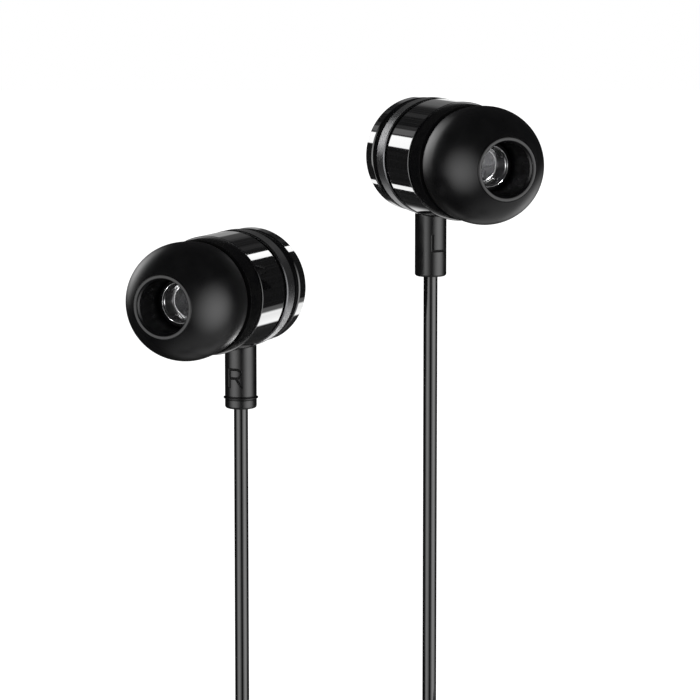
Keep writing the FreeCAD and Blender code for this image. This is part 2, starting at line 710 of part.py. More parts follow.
def rounded_path(points):
    # Straight runs with the largest arc that both runs of a corner allow
    edges = []
    here = points[0]
    radii = []
    for before, corner, after in zip(points, points[1:], points[2:]):
        inward = (corner - before).normalize()
        outward = (after - corner).normalize()
        half = math.acos(max(-1, min(1, inward.dot(outward)))) / 2
        reach = arcShare * min((corner - before).Length, (after - corner).Length)
        radius = reach / math.tan(half)
        radii.append(radius)
        first, last = corner - inward * reach, corner + outward * reach
        bisector = (outward - inward).normalize()
        middle = corner + bisector * (radius / math.cos(half) - radius)
        edges.append(Part.LineSegment(here, first).toShape())
        edges.append(Part.Arc(first, middle, last).toShape())
        here = last
    edges.append(Part.LineSegment(here, points[-1]).toShape())
    return Part.Wire(edges), radii


def report_route(label, path, radii):
    print(label, "length", round(path.Length, 1), "radii", [round(r, 1) for r in radii])


def s_curve(first, last):
    # Two equal arcs from one upright tangent to another, or one line where nothing shifts
    shift = vector(last.x - first.x, last.y - first.y, 0)
    if shift.Length < tiny:
        return [Part.LineSegment(first, last).toShape()]
    rise = last.z - first.z
    turn = 2 * math.atan(shift.Length / abs(rise))
    radius = abs(rise) / (2 * math.sin(turn))
    side = vector(shift).normalize()
    up = vector(0, 0, math.copysign(1, rise))
    middle = (first + last) * 0.5

    def on_first(angle):
        return first + side * (radius * (1 - math.cos(angle))) + up * (radius * math.sin(angle))

    def on_last(angle):
        return last - side * (radius * (1 - math.cos(angle))) - up * (radius * math.sin(angle))

    return [Part.Arc(first, on_first(turn / 2), middle).toShape(),
            Part.Arc(middle, on_last(turn / 2), last).toShape()]


def hank_points(centre, sideways, depth_step, radii, order, climbs, top, run, waist):
    # Each run as its upper, waist and lower point, in the order in which the cord passes them
    runs = []
    layer = 0
    for i, place in enumerate(order):
        side = sideways if i % 2 == 0 else -sideways
        begin = layer
        if i in climbs:
            layer += 1
        levels = (begin, (begin + layer) / 2, layer)
        outs = (radii[place], radii[place] - waist, radii[place])
        heights = (top, top - run / 2, top - run)
        if i % 2:
            heights = heights[::-1]
        runs.append([vector(centre.x + side * out, centre.y + depth_step * level, height)
                     for out, level, height in zip(outs, levels, heights)])
    return runs


def hank_path(label, runs, diameter):
    # Half turns join the runs, and both ends stay straight for one diameter
    edges = []
    first = runs[0][0]
    lead = vector(0, 0, math.copysign(diameter, first.z - runs[0][1].z))
    edges.append(Part.LineSegment(first + lead, first).toShape())
    for run, following in zip(runs, runs[1:] + [None]):
        edges += s_curve(run[0], run[1]) + s_curve(run[1], run[2])
        if following:
            start, end = run[2], following[0]
            away = vector(0, 0, math.copysign(1, start.z - run[1].z))
            middle = (start + end) * 0.5
            radius = (end - start).Length / 2
            top = middle + away * radius
            quarter = math.sqrt(0.5)
            begin_side = (start - middle).normalize()
            edges.append(Part.Arc(start, middle + (begin_side + away) * (radius * quarter), top).toShape())
            edges.append(Part.Arc(top, middle + (away - begin_side) * (radius * quarter), end).toShape())
    last = runs[-1][2]
    tail = vector(0, 0, math.copysign(diameter, last.z - runs[-1][1].z))
    edges.append(Part.LineSegment(last, last + tail).toShape())
    path = Part.Wire(edges)
    report_gap(label, path, diameter)
    return path


def report_gap(label, path, diameter):
    # The least distance between surfaces of parts of the path that aren't neighbours along it
    points = []
    travel = []
    gone = 0.0
    for edge in path.Edges:
        count = max(2, int(edge.Length / gapStep))
        for point in edge.discretize(count)[:-1]:
            points.append(point)
            travel.append(gone)
            gone += edge.Length / (count - 1)
    least = min((a - b).Length
                for i, a in enumerate(points)
                for j, b in enumerate(points[:i])
                if travel[i] - travel[j] > neighbours * diameter)
    print(label, "length", round(path.Length, 1), "least gap to itself", round(least - diameter, 2))


def run_length(total, others, radii, order, waist):
    # The straight length of each run that gives the hank its share of the cord
    folds = sum(math.pi * (radii[a] + radii[b]) / 2 for a, b in zip(order, order[1:]))
    run = (total - others - folds) / len(order)
    for attempt in range(20):
        half = run / 2
        turn = 2 * math.atan(waist / half)
        run -= half / math.sin(turn) * turn * 2 - (total - others - folds) / len(order)
    return run


def make_tie(label, runs, diameter, height):
    # A band round the waist, where every run has its middle point
    waist = [run[1] for run in runs]
    room = diameter / 2 + size("tieRoom")
    wall = size("tieWall")
    low = vector(min(p.x for p in waist) - room, min(p.y for p in waist) - room, waist[0].z - height / 2)
    high = vector(max(p.x for p in waist) + room, max(p.y for p in waist) + room, waist[0].z + height / 2)

    def block(spread, corner):
        box = Part.makeBox(high.x - low.x + 2 * spread, high.y - low.y + 2 * spread, height,
                           low - vector(spread, spread, 0))
        upright = [e for e in box.Edges if abs(e.tangentAt(e.FirstParameter).z) > 0.9]
        return box.makeFillet(corner, upright)

    shaped(label, block(wall, room + wall).cut(block(0, room)))


def make_branch(side, foot, splitter_face):
    diameter = size("branchDiameter")
    radius = diameter / 2
    top = size("branchHankTop")
    outward = -1 if side == "right" else 1
    depth = branchStep if side == "right" else -branchStep
    hank_start = vector(foot.x, foot.y, top + diameter)
    upper = Part.Wire([Part.LineSegment(foot, hank_start).toShape()])
    shaped(f"{side}_cord_upper", tube(upper, radius))
    centre = vector(foot.x + outward * branchRadii[branchOrder[0]], foot.y, 0)
    # The lower stretch leaves the hank at its layer's depth and leans into the splitter, and the hank's
    # runs are as long as both stretches leave cord for
    lower_length = top - diameter - splitter_face.z
    for attempt in range(6):
        others = upper.Length + 2 * diameter + lower_length
        run = run_length(size("branchLength"), others, branchRadii, branchOrder, branchWaist)
        runs = hank_points(centre, -outward, depth, branchRadii, branchOrder, branchClimbs, top, run,
                           branchWaist)
        start = runs[-1][2] - vector(0, 0, diameter)
        span = splitter_face - start
        lower, radii = rounded_path([start + vector(span.x * across, span.y * across, span.z * down)
                                     for across, down in branchRoute])
        lower_length = lower.Length
    path = hank_path(f"{side}_cord_hank", runs, diameter)
    shaped(f"{side}_cord_hank", tube(path, radius))
    report_route(f"{side}_cord_lower", lower, radii)
    shaped(f"{side}_cord_lower", tube(lower, radius))
    make_tie(f"{side}_cord_tie", runs, diameter, size("tieHeight"))
    print(side, "cord in all", round(upper.Length + path.Length + lower.Length, 1), "run", round(run, 2))


def make_splitter(middle):
    body = doc.addObject("PartDesign::Body", "Body")
    body.Label = "splitter"
    half = "socketSpacing / 2"
    sections = (
        (half, "socketRadius", "0"),
        (half, "socketRadius", "-splitterStraight"),
        ("footSpread", "splitterFoot", "-splitterLength"),
    )
    sketches = []
    for reach, radius, level in sections:
        sketch = new_sketch(body, "XY_Plane")
        sketch.AttachmentOffset = FreeCAD.Placement(vector(0, 0, size(level)), FreeCAD.Rotation())
        sketch.setExpression("AttachmentOffset.Base.z", bound(level))
        draw_outline(sketch, [
            (reach, f"-({radius})", radius, "left"),
            (reach, radius),
            (f"-({reach})", radius, radius, "left"),
            (f"-({reach})", f"-({radius})"),
        ])
        sketches.append(sketch)
    loft = body.newObject("PartDesign::AdditiveLoft", "Loft")
    loft.Profile = sketches[0]
    loft.Sections = sketches[1:]
    loft.Ruled = True
    body.Placement = upright_placement(middle)
    doc.recompute()


def make_main_cord(middle):
    diameter = size("mainDiameter")
    radius = diameter / 2
    start = middle - vector(0, 0, size("splitterLength"))
    top = size("mainHankTop")
    hank_start = vector(start.x, start.y, top + diameter)
    upper = Part.Wire([Part.LineSegment(start, hank_start).toShape()])
    shaped("main_cord_upper", tube(upper, radius))
    centre = vector(start.x + mainRadii[mainOrder[0]], start.y, 0)
    leg = size("loopLeg")
    reach = leg * math.sin(loopLean)
    crest = leg * (1 + math.cos(loopLean))
    bend = [(0, 0), (0, leg), (reach, crest), (2 * reach, leg), (2 * reach, 0)]
    end = vector(centre.x + mainRadii[mainOrder[-1]], start.y - len(mainClimbs) * mainStep, top + diameter)
    lower, radii = rounded_path([end + vector(x, 0, z) for x, z in bend])
    report_route("main_cord_lower", lower, radii)
    others = upper.Length + lower.Length + 2 * diameter
    run = run_length(size("mainLength"), others, mainRadii, mainOrder, mainWaist)
    runs = hank_points(centre, -1, -mainStep, mainRadii, mainOrder, mainClimbs, top, run, mainWaist)
    path = hank_path("main_cord_hank", runs, diameter)
    shaped("main_cord_hank", tube(path, radius))
    shaped("main_cord_lower", tube(lower, radius))
    make_tie("main_cord_tie", runs, diameter, size("mainTieHeight"))
    print("main cord in all", round(upper.Length + path.Length + lower.Length, 1), "run", round(run, 2))
    return end + vector(2 * reach, 0, 0)


def make_plug(cord_end):
    place = hanging_placement(cord_end)
    bodyTop = "reliefLength"
    bodyEnd = f"{bodyTop} + plugBodyLength"
    sleeveEnd = f"{bodyEnd} + sleeveLength"
    firstCollar = f"{sleeveEnd} + collarLength"
    ringEnd = f"{firstCollar} + contactLength"
    secondCollar = f"{ringEnd} + collarLength"
    pinEnd = f"{secondCollar} + tipContactLength"
    turned("plug_strain_relief", [
        ("0", "0"),
        ("reliefTopRadius", "0"),
        ("reliefFootRadius", bodyTop),
        ("0", bodyTop),
    ], place)
    turned("plug_body", [
        ("0", bodyTop),
        ("plugBodyRadius - plugBevel", bodyTop),
        ("plugBodyRadius", f"{bodyTop} + plugBevel"),
        ("plugBodyRadius", f"{bodyEnd} - plugBevel / 2"),
        ("plugBodyRadius - plugBevel / 2", bodyEnd),
        ("0", bodyEnd),
    ], place)
    turned("plug_sleeve_contact", [
        ("contactCore", bodyEnd),
        ("pinRadius", bodyEnd),
        ("pinRadius", sleeveEnd),
        ("contactCore", sleeveEnd),
    ], place)
    # The insulator is one moulding: two collars on a core that runs from the body into the tip contact
    turned("plug_insulator", [
        ("0", bodyEnd),
        ("contactCore - fitClear", bodyEnd),
        ("contactCore - fitClear", sleeveEnd),
        ("pinRadius", sleeveEnd),
        ("pinRadius", firstCollar),
        ("contactCore - fitClear", firstCollar),
        ("contactCore - fitClear", ringEnd),
        ("pinRadius", ringEnd),
        ("pinRadius", secondCollar),
        ("0", secondCollar),
    ], place)
    turned("plug_ring_contact", [
        ("contactCore", firstCollar),
        ("pinRadius", firstCollar),
        ("pinRadius", ringEnd),
        ("contactCore", ringEnd),
    ], place)
    turned("plug_tip_contact", [
        ("0", secondCollar),
        ("pinRadius", secondCollar),
        ("pinRadius", f"{secondCollar} + tipStraight"),
        ("tipNeckRadius", f"{secondCollar} + tipNeck"),
        ("tipBulgeRadius", f"{secondCollar} + tipBulge"),
        ("tipConeRadius", f"{secondCollar} + tipConeEnd"),
        ("tipEndRadius", pinEnd),
        ("0", pinEnd),
    ], place)


feet = {}
for side in ("right", "left"):
    place = earpiece_placement(side)
    make_ear_tip(side, place)
    make_front_housing(side, place)
    make_nozzle_grille(side, place)
    make_driver(side, place)
    make_shell(side, place)
    feet[side] = make_boot(side, place)
    make_lead_wires(side, place)

# The splitter hangs midway between the two cords, where both hanks let them go
splitter_middle = vector((feet["right"].x + feet["left"].x) / 2,
                         (feet["right"].y + feet["left"].y) / 2, size("splitterTop"))
socket = vector(size("socketSpacing") / 2, 0, 0)
make_branch("right", feet["right"], splitter_middle - socket)
make_branch("left", feet["left"], splitter_middle + socket)
make_splitter(splitter_middle)
plug_start = make_main_cord(splitter_middle)
make_plug(plug_start)

doc.recompute()
helpers = {"right_boot_collar", "left_boot_collar", "right_boot_stem", "left_boot_stem"}
kinds = ("PartDesign::Body", "Part::Feature", "Part::Fuse")
pieces = [o for o in doc.Objects if o.TypeId in kinds and o.Label not in helpers]
for item in doc.Objects:
    if "Invalid" in item.State or "Error" in item.State:
        raise RuntimeError(f"{item.Label} failed: {item.State}")
for piece in pieces:
    if piece.Shape.isNull() or not piece.Shape.isValid() or not piece.Shape.Solids:
        raise RuntimeError(f"{piece.Label} has no valid shape")
os.makedirs("parts", exist_ok=True)
for piece in pieces:
    piece.Shape.exportStep(f"parts/{piece.Label}.step")
print(len(pieces), "pieces written")
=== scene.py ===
import math
import bmesh
import bpy
from mathutils import Matrix, Vector


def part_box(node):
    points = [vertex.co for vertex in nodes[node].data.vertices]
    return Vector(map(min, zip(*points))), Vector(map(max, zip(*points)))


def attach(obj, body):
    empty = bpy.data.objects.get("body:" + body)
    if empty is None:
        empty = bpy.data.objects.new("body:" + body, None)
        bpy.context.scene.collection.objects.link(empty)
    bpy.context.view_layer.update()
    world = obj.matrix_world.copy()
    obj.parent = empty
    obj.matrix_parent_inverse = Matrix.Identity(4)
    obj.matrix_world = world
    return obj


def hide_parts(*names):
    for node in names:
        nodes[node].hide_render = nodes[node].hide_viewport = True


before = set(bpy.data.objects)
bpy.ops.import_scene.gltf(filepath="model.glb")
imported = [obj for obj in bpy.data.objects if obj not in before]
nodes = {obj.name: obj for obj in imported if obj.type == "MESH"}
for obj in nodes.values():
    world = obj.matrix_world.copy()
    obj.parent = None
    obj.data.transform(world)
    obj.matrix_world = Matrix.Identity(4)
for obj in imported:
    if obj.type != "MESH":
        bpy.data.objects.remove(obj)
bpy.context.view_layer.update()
scene = bpy.context.scene
scene.view_settings.view_transform = "Standard"
mm = 0.001
sides = ("right", "left")

# Camera

cameraSetup = {
    "place": (20.28, -374.5, 48.0),  # mm
    "downTilt": 8.0,  # degrees
    "lens": 180.0,
    "sensor": 36.0,
    "clip": (0.02, 20.0),  # m
}
cameraData = bpy.data.cameras.new("photoCamera")
cameraData.lens = cameraSetup["lens"]
cameraData.sensor_width = cameraSetup["sensor"]
cameraData.clip_start, cameraData.clip_end = cameraSetup["clip"]
camera = bpy.data.objects.new("photoCamera", cameraData)
scene.collection.objects.link(camera)
camera.location = Vector(cameraSetup["place"]) * mm
camera.rotation_euler = (math.radians(90 - cameraSetup["downTilt"]), 0, 0)
scene.camera = camera
print("camera placed")

# Node material helpers


def newNodes(name):
    material = bpy.data.materials.new(name)
    material.use_nodes = True
    tree = material.node_tree
    tree.nodes.clear()
    return material, tree


def addNode(tree, kind, inputs=None, **settings):
    node = tree.nodes.new(kind)
    for key, value in settings.items():
        setattr(node, key, value)
    for key, value in (inputs or {}).items():
        if isinstance(value, bpy.types.NodeSocket):
            tree.links.new(value, node.inputs[key])
        else:
            node.inputs[key].default_value = value
    return node


def mathNode(tree, operation, *values):
    return addNode(tree, "ShaderNodeMath", dict(enumerate(values)), operation=operation).outputs[0]


def ranged(tree, value, low, high, toLow, toHigh):
    inputs = {"Value": value, 1: low, 2: high, 3: toLow, 4: toHigh}
    return addNode(tree, "ShaderNodeMapRange", inputs, interpolation_type="SMOOTHSTEP").outputs[0]


def noiseNode(tree, vector, scale, detail=3.0, rough=0.55):
    inputs = {"Vector": vector, "Scale": scale, "Detail": detail, "Roughness": rough}
    return addNode(tree, "ShaderNodeTexNoise", inputs).outputs[0]


def partsOf(tree, place):
    return addNode(tree, "ShaderNodeSeparateXYZ", {0: place}).outputs


def objectPlace(tree):
    return addNode(tree, "ShaderNodeTexCoord").outputs["Object"]


def squares(tree, first, second):
    return mathNode(tree, "MULTIPLY_ADD", second, second, mathNode(tree, "MULTIPLY", first, first))


# Finishes: two colours that soft patches mix, the span of the roughness, the grain's scale and its depth in
# mm, and what else differs

surface = {
    "patch": 700.0,
    "patchSpan": (0.35, 0.65),
    "noiseSpan": (0.3, 0.7),
    "turnedHeight": 3.0,
    "ior": 1.45,
    "coatRoughness": 0.03,
}
finishes = {
    "silicone": ((0.0035, 0.0035, 0.004), (0.005, 0.005, 0.0055), (0.27, 0.33), (9000.0, 0.0003),
        {"ior": 1.36, "patch": 500.0}),
    "satinBlack": ((0.004, 0.004, 0.0045), (0.006, 0.006, 0.006), (0.2, 0.26), (14000.0, 0.0006),
        {"ior": 1.13}),
    "mirrorBlack": ((0.003, 0.003, 0.0035), (0.004, 0.004, 0.0045), (0.03, 0.05), (3000.0, 0.00004),
        {"ior": 1.62}),
    "satinMetal": ((0.09, 0.09, 0.093), (0.075, 0.075, 0.078), (0.2, 0.3), (9000.0, 0.0003),
        {"metallic": 1.0, "turned": 9000.0}),
    "grilleSteel": ((0.26, 0.26, 0.263), (0.22, 0.22, 0.223), (0.08, 0.11), (9000.0, 0.0004),
        {"metallic": 0.62}),
    "screenSteel": ((0.34, 0.34, 0.35), (0.26, 0.26, 0.27), (0.3, 0.42), (9000.0, 0.0002), {"metallic": 1.0}),
    "bootRubber": ((0.004, 0.004, 0.0045), (0.006, 0.006, 0.006), (0.27, 0.33), (12000.0, 0.0003),
        {"ior": 1.42,
         "recess": {"station": 19.2, "radius": 1.79, "fade": 0.06,
                    "foot": -12.0, "head": -8.2, "rough": 0.95}}),
    "cordRubber": ((0.004, 0.004, 0.0045), (0.006, 0.006, 0.006), (0.09, 0.12), (9000.0, 0.0002),
        {"ior": 1.48}),
    "tiePlastic": ((0.012, 0.012, 0.013), (0.018, 0.018, 0.018), (0.42, 0.55), (7000.0, 0.003), {}),
    "plugPlastic": ((0.008, 0.008, 0.009), (0.012, 0.012, 0.012), (0.25, 0.35), (10000.0, 0.001), {}),
    "contactMetal": ((0.72, 0.68, 0.6), (0.62, 0.58, 0.5), (0.12, 0.24), (6000.0, 0.0004), {"metallic": 1.0}),
    "insulatorPlastic": ((0.015, 0.015, 0.015), (0.02, 0.02, 0.02), (0.35, 0.45), (8000.0, 0.0008), {}),
    "foam": ((0.03, 0.03, 0.032), (0.05, 0.05, 0.05), (0.85, 0.95), (5000.0, 0.03), {}),
    "coverSteel": ((0.55, 0.55, 0.56), (0.47, 0.47, 0.48), (0.28, 0.42), (7000.0, 0.0008), {"metallic": 1.0}),
    "film": ((0.42, 0.28, 0.12), (0.5, 0.36, 0.18), (0.12, 0.22), (3000.0, 0.0008), {"coat": 0.5}),
    "copper": ((0.72, 0.33, 0.16), (0.6, 0.25, 0.11), (0.2, 0.35), (9000.0, 0.002), {"metallic": 1.0}),
    "zincSteel": ((0.5, 0.5, 0.49), (0.4, 0.41, 0.42), (0.3, 0.5), (4000.0, 0.001), {"metallic": 1.0}),
    "nickel": ((0.62, 0.6, 0.55), (0.55, 0.53, 0.49), (0.15, 0.26), (6000.0, 0.0004), {"metallic": 1.0}),
    "framePlastic": ((0.02, 0.02, 0.021), (0.03, 0.03, 0.03), (0.45, 0.6), (8000.0, 0.002), {}),
    "paper": ((0.6, 0.58, 0.52), (0.5, 0.48, 0.43), (0.8, 0.95), (6000.0, 0.01), {}),
    "board": ((0.02, 0.12, 0.05), (0.03, 0.16, 0.07), (0.25, 0.4), (9000.0, 0.001), {}),
    "brassCrimp": ((0.66, 0.5, 0.22), (0.58, 0.42, 0.17), (0.22, 0.36), (7000.0, 0.001), {"metallic": 1.0}),
}


def recessRoughness(tree, place, recess, roughness):
    # Dull where the surface lies below the recess's radius round a boot's axis, between two heights
    x, y, z = partsOf(tree, place)
    along = mathNode(tree, "SUBTRACT", z, recess["station"] * mm)
    away = mathNode(tree, "SQRT", squares(tree, x, along))
    high, low = recess["radius"] * mm, (recess["radius"] - recess["fade"]) * mm
    dull = ranged(tree, away, low, high, 1.0, 0.0)
    dull = mathNode(tree, "MULTIPLY", dull, mathNode(tree, "GREATER_THAN", y, recess["foot"] * mm))
    dull = mathNode(tree, "MULTIPLY", dull, mathNode(tree, "LESS_THAN", y, recess["head"] * mm))
    return mathNode(tree, "MAXIMUM", roughness, mathNode(tree, "MULTIPLY", dull, recess["rough"]))


def glossNodes(name, colour, colourFar, rough, grainForm, look):
    material, tree = newNodes(name)
    place = objectPlace(tree)
    patches = noiseNode(tree, place, look.get("patch", surface["patch"]), 2.0)
    grainScale, grainDepth = grainForm
    grain = noiseNode(tree, place, grainScale, 4.0, 0.6)
    height = grain
    if "turned" in look:  # lathe lines round the local axis
        x, y, z = partsOf(tree, place)
        across = mathNode(tree, "SQRT", squares(tree, x, y))
        lines = addNode(tree, "ShaderNodeCombineXYZ", {0: across, 1: 0.0, 2: z}).outputs[0]
        turnedNoise = noiseNode(tree, lines, look["turned"], 5.0, 0.7)
        height = mathNode(tree, "MULTIPLY_ADD", turnedNoise, surface["turnedHeight"], grain)
        grain = turnedNoise
    mean = mathNode(tree, "MULTIPLY_ADD", grain, 0.5, mathNode(tree, "MULTIPLY", patches, 0.5))
    roughness = ranged(tree, mean, *surface["noiseSpan"], *rough)
    if "recess" in look:
        roughness = recessRoughness(tree, place, look["recess"], roughness)
    share = ranged(tree, patches, *surface["patchSpan"], 0.0, 1.0)
    mixed = addNode(tree, "ShaderNodeMix", {0: share}, data_type="RGBA")
    mixed.inputs[6].default_value = (*colour, 1)
    mixed.inputs[7].default_value = (*colourFar, 1)
    bump = addNode(tree, "ShaderNodeBump", {"Height": height, "Distance": grainDepth * mm, "Strength": 1.0})
    shader = addNode(tree, "ShaderNodeBsdfPrincipled", {
        "Base Color": mixed.outputs[2],
        "Roughness": roughness,
        "Normal": bump.outputs[0],
    })
    shader.inputs["Metallic"].default_value = look.get("metallic", 0.0)
    shader.inputs["IOR"].default_value = look.get("ior", surface["ior"])
    if "coat" in look:
        shader.inputs["Coat Weight"].default_value = look["coat"]
        shader.inputs["Coat Roughness"].default_value = surface["coatRoughness"]
    addNode(tree, "ShaderNodeOutputMaterial", {0: shader.outputs[0]})
    return material


def slotName(finish):
    # The record's slot of a finish, such as satin_black of satinBlack
    return "".join("_" + letter.lower() if letter.isupper() else letter for letter in finish)


materials = {name: glossNodes(name, *look) for name, look in finishes.items()}
print("finishes made:", len(materials))

# Places and meshes

earpieces = {
    "yaw": 24.35,  # degrees outwards
    "mouth": {"right": (0, 0, 0), "left": (37.38, 4.38, 14.53)},  # mm
}
meshing = {
    "sharp": 32.0,  # degrees
    "cornerShare": 0.45,
    "cornerSteps": 4,
    "straight": 0.45,
    "support": 0.03,
    "pole": 1e-6,
}


def earpiecePlace(side):
    yaw = math.radians(earpieces["yaw"])
    inward = 1 if side == "right" else -1
    back = Vector((inward * math.sin(yaw), math.cos(yaw), 0))
    up = Vector((0, 0, 1))
    across = up.cross(back)
    place = Matrix((across, up, back)).transposed().to_4x4()
    place.translation = Vector(earpieces["mouth"][side]) * mm
    return place


places = {side: earpiecePlace(side) for side in sides}


def addPiece(name, mesh, finish, replaced, place=Matrix.Identity(4), body="root", slot=None):
    piece = bpy.data.objects.new(name, mesh)
    scene.collection.objects.link(piece)
    piece.matrix_world = place
    mesh.materials.append(materials[finish])
    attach(piece, body)
    slot or slotName(finish)
    if replaced:
        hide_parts(*replaced)
    return piece


def arcPoints(first, last, radius, side, steps):
    # Points of the arc whose centre lies left or right of the way from first to last, without its end
    chord = last - first
    left = Vector((-chord.y, chord.x)).normalized()
    reach = math.sqrt(max(0.0, radius ** 2 - (chord.length / 2) ** 2))
    centre = (first + last) / 2 + left * (reach if side == "left" else -reach)
    begin = math.atan2(first.y - centre.y, first.x - centre.x)
    end = math.atan2(last.y - centre.y, last.x - centre.x)
    if side == "left" and end < begin:
        end += 2 * math.pi
    if side == "right" and end > begin:
        end -= 2 * math.pi
    turns = [begin + (end - begin) * i / steps for i in range(steps)]
    return [centre + Vector((math.cos(t), math.sin(t))) * radius for t in turns]


def roundCorner(before, corner, after, radius):
    # The corner's arc, kept within a share of both its sides
    inward = (before - corner).normalized()
    outward = (after - corner).normalized()
    half = inward.angle(outward) / 2
    share = meshing["cornerShare"]
    reach = min(radius / math.tan(half), share * (before - corner).length, share * (after - corner).length)
    radius = reach * math.tan(half)
    first, last = corner + inward * reach, corner + outward * reach
    turn = (corner - before).x * (after - corner).y - (corner - before).y * (after - corner).x
    return arcPoints(first, last, radius, "left" if turn > 0 else "right", meshing["cornerSteps"]) + [last]


def outlineOf(corners):
    # Corners are (radius, station), with a rounding, or with an arc's radius, side and steps to the next
    points = [Vector(c[:2]) for c in corners]
    out = []
    for i, corner in enumerate(corners):
        after = points[(i + 1) % len(points)]
        if len(corner) == 5:
            out += arcPoints(points[i], after, *corner[2:])
        elif len(corner) == 3:
            out += roundCorner(points[i - 1], points[i], after, corner[2])
        else:
            out.append(points[i])
    return out


def withSupports(points, closed):
    # Adds a point near both ends of each long straight, which keeps its shading flat
    out = []
    for i, point in enumerate(points):
        out.append(point)
        way = points[(i + 1) % len(points)] - point
        if way.length > meshing["straight"] and (closed or i + 1 < len(points)):
            inset = way.normalized() * meshing["support"]
            out += [point + inset, point + way - inset]
    return out


def skin(bm, rings, closed=False, capped=False):
    # Faces from ring to ring; a ring may be a single point
    pairs = list(zip(rings, rings[1:]))
    if closed:
        pairs.append((rings[-1], rings[0]))
    for first, second in pairs:
        for k in range(max(len(first), len(second))):
            corners = (first[k % len(first)], first[(k + 1) % len(first)],
                       second[(k + 1) % len(second)], second[k % len(second)])
            unique = list(dict.fromkeys(corners))
            if len(unique) > 2:
                bm.faces.new(unique)
    if capped:
        bm.faces.new(rings[0])
        bm.faces.new(rings[-1])


def smoothMesh(name, bm, sharp=meshing["sharp"]):
    bmesh.ops.recalc_face_normals(bm, faces=bm.faces)
    mesh = bpy.data.meshes.new(name)
    bm.to_mesh(mesh)
    bm.free()
    mesh.shade_smooth()
    mesh.set_sharp_from_angle(angle=math.radians(sharp))
    return mesh


def turnedMesh(name, corners, segments, closed=True):
    # Turns an outline in mm round the local Z axis
    bm = bmesh.new()
    turns = [2 * math.pi * k / segments for k in range(segments)]
    rings = []
    for point in withSupports(outlineOf(corners), closed):
        radius, level = point.x * mm, point.y * mm
        if point.x < meshing["pole"]:
            rings.append([bm.verts.new((0, 0, level))])
        else:
            rings.append([bm.verts.new((radius * math.cos(t), radius * math.sin(t), level)) for t in turns])
    skin(bm, rings, closed)
    return smoothMesh(name, bm)


# Cords: one smooth line each, on the route points of the CAD source, in mm

branchCord = {
    "diameter": 1.6,
    "length": 340.0,
    "lead": 8.4,
    "hankTop": -56.5,
    "radii": (4.15, 5.15, 6.15, 7.15),
    "order": (3, 2, 1, 0, 1, 2, 3),
    "climbs": (3,),
    "step": 2.0,
    "waist": 2.2,
    "route": ((0, 0), (0, 0.2), (0.26, 0.41), (0.7, 0.62), (1, 0.82), (1, 1)),
}
mainCord = {
    "diameter": 2.0,
    "length": 860.0,
    "hankTop": -128.6,
    "radii": (6.0, 7.35, 8.7, 10.05, 11.4),
    "order": (3, 2, 1, 0, 1, 2, 3, 2, 1, 0, 1, 2, 3, 4),
    "climbs": (3, 6, 9),
    "step": 2.5,
    "waist": 4.0,
    "loopLeg": 7.8,
    "loopLean": 60.0,  # degrees
}
hank = {
    "run": ((0, 0), (0.15, 0), (0.35, 1), (0.5, 1), (0.65, 1), (0.85, 0), (1, 0)),  # along it, to the waist
    "climb": (0.15, 0.7),  # where a run starts to climb and over what share of it
    "turn": (22.5, 67.5, 112.5, 157.5),  # degrees
}
layout = {
    "feet": {"right": (7.916, 17.492, -13.68), "left": (29.464, 21.872, 0.85)},
    "splitterTop": -106.0,
    "splitterLength": 11.0,
    "socketReach": 1.1,
}
splitterMiddle = Vector((
    (layout["feet"]["right"][0] + layout["feet"]["left"][0]) / 2,
    (layout["feet"]["right"][1] + layout["feet"]["left"][1]) / 2,
    layout["splitterTop"],
))


def hankPoints(cord, centre, sideways, depthStep, lowest):
    # Straight runs that bend in at the waist, joined by half turns
    top = cord["hankTop"]
    order = cord["order"]
    radii = cord["radii"]
    widestTurn = max((radii[a] + radii[b]) / 2 for a, b in zip(order[::2], order[1::2]))
    bottom = lowest + cord["diameter"] / 2 + widestTurn
    climbStart, climbShare = hank["climb"]
    points = []
    layer = 0
    for i, ring in enumerate(order):
        side = sideways if i % 2 == 0 else -sideways
        begin = layer
        layer += 1 if i in cord["climbs"] else 0
        high, low = (top, bottom) if i % 2 == 0 else (bottom, top)
        for share, draw in hank["run"]:
            out = radii[ring] - cord["waist"] * draw
            level = begin + (layer - begin) * min(1, max(0, (share - climbStart) / climbShare))
            points.append(Vector((centre.x + side * out, centre.y + depthStep * level,
                                  high + (low - high) * share)))
        if i + 1 < len(order):
            reach = (radii[ring] + radii[order[i + 1]]) / 2
            middle = centre.x + side * (radii[ring] - reach)
            away = -1 if i % 2 == 0 else 1
            spread = reach / math.cos(math.radians(hank["turn"][0]))
            for turn in hank["turn"]:
                points.append(Vector((middle + side * spread * math.cos(math.radians(turn)),
                                      centre.y + depthStep * layer,
                                      low + away * spread * math.sin(math.radians(turn)))))
    return points


def cordPiece(name, cord, points):
    curve = bpy.data.curves.new(name, "CURVE")
    curve.dimensions = "3D"
    curve.bevel_depth = cord["diameter"] / 2 * mm
    curve.bevel_resolution = 7
    curve.resolution_u = 8
    curve.use_fill_caps = True
    line = curve.splines.new("NURBS")
    line.points.add(len(points) - 1)
    for control, point in zip(line.points, points):
        control.co = (*(point * mm), 1)
    line.order_u = 3
    line.use_endpoint_u = True
    return addPiece(name, curve, "cordRubber", [f"{name}_{part}" for part in ("upper", "hank", "lower")])


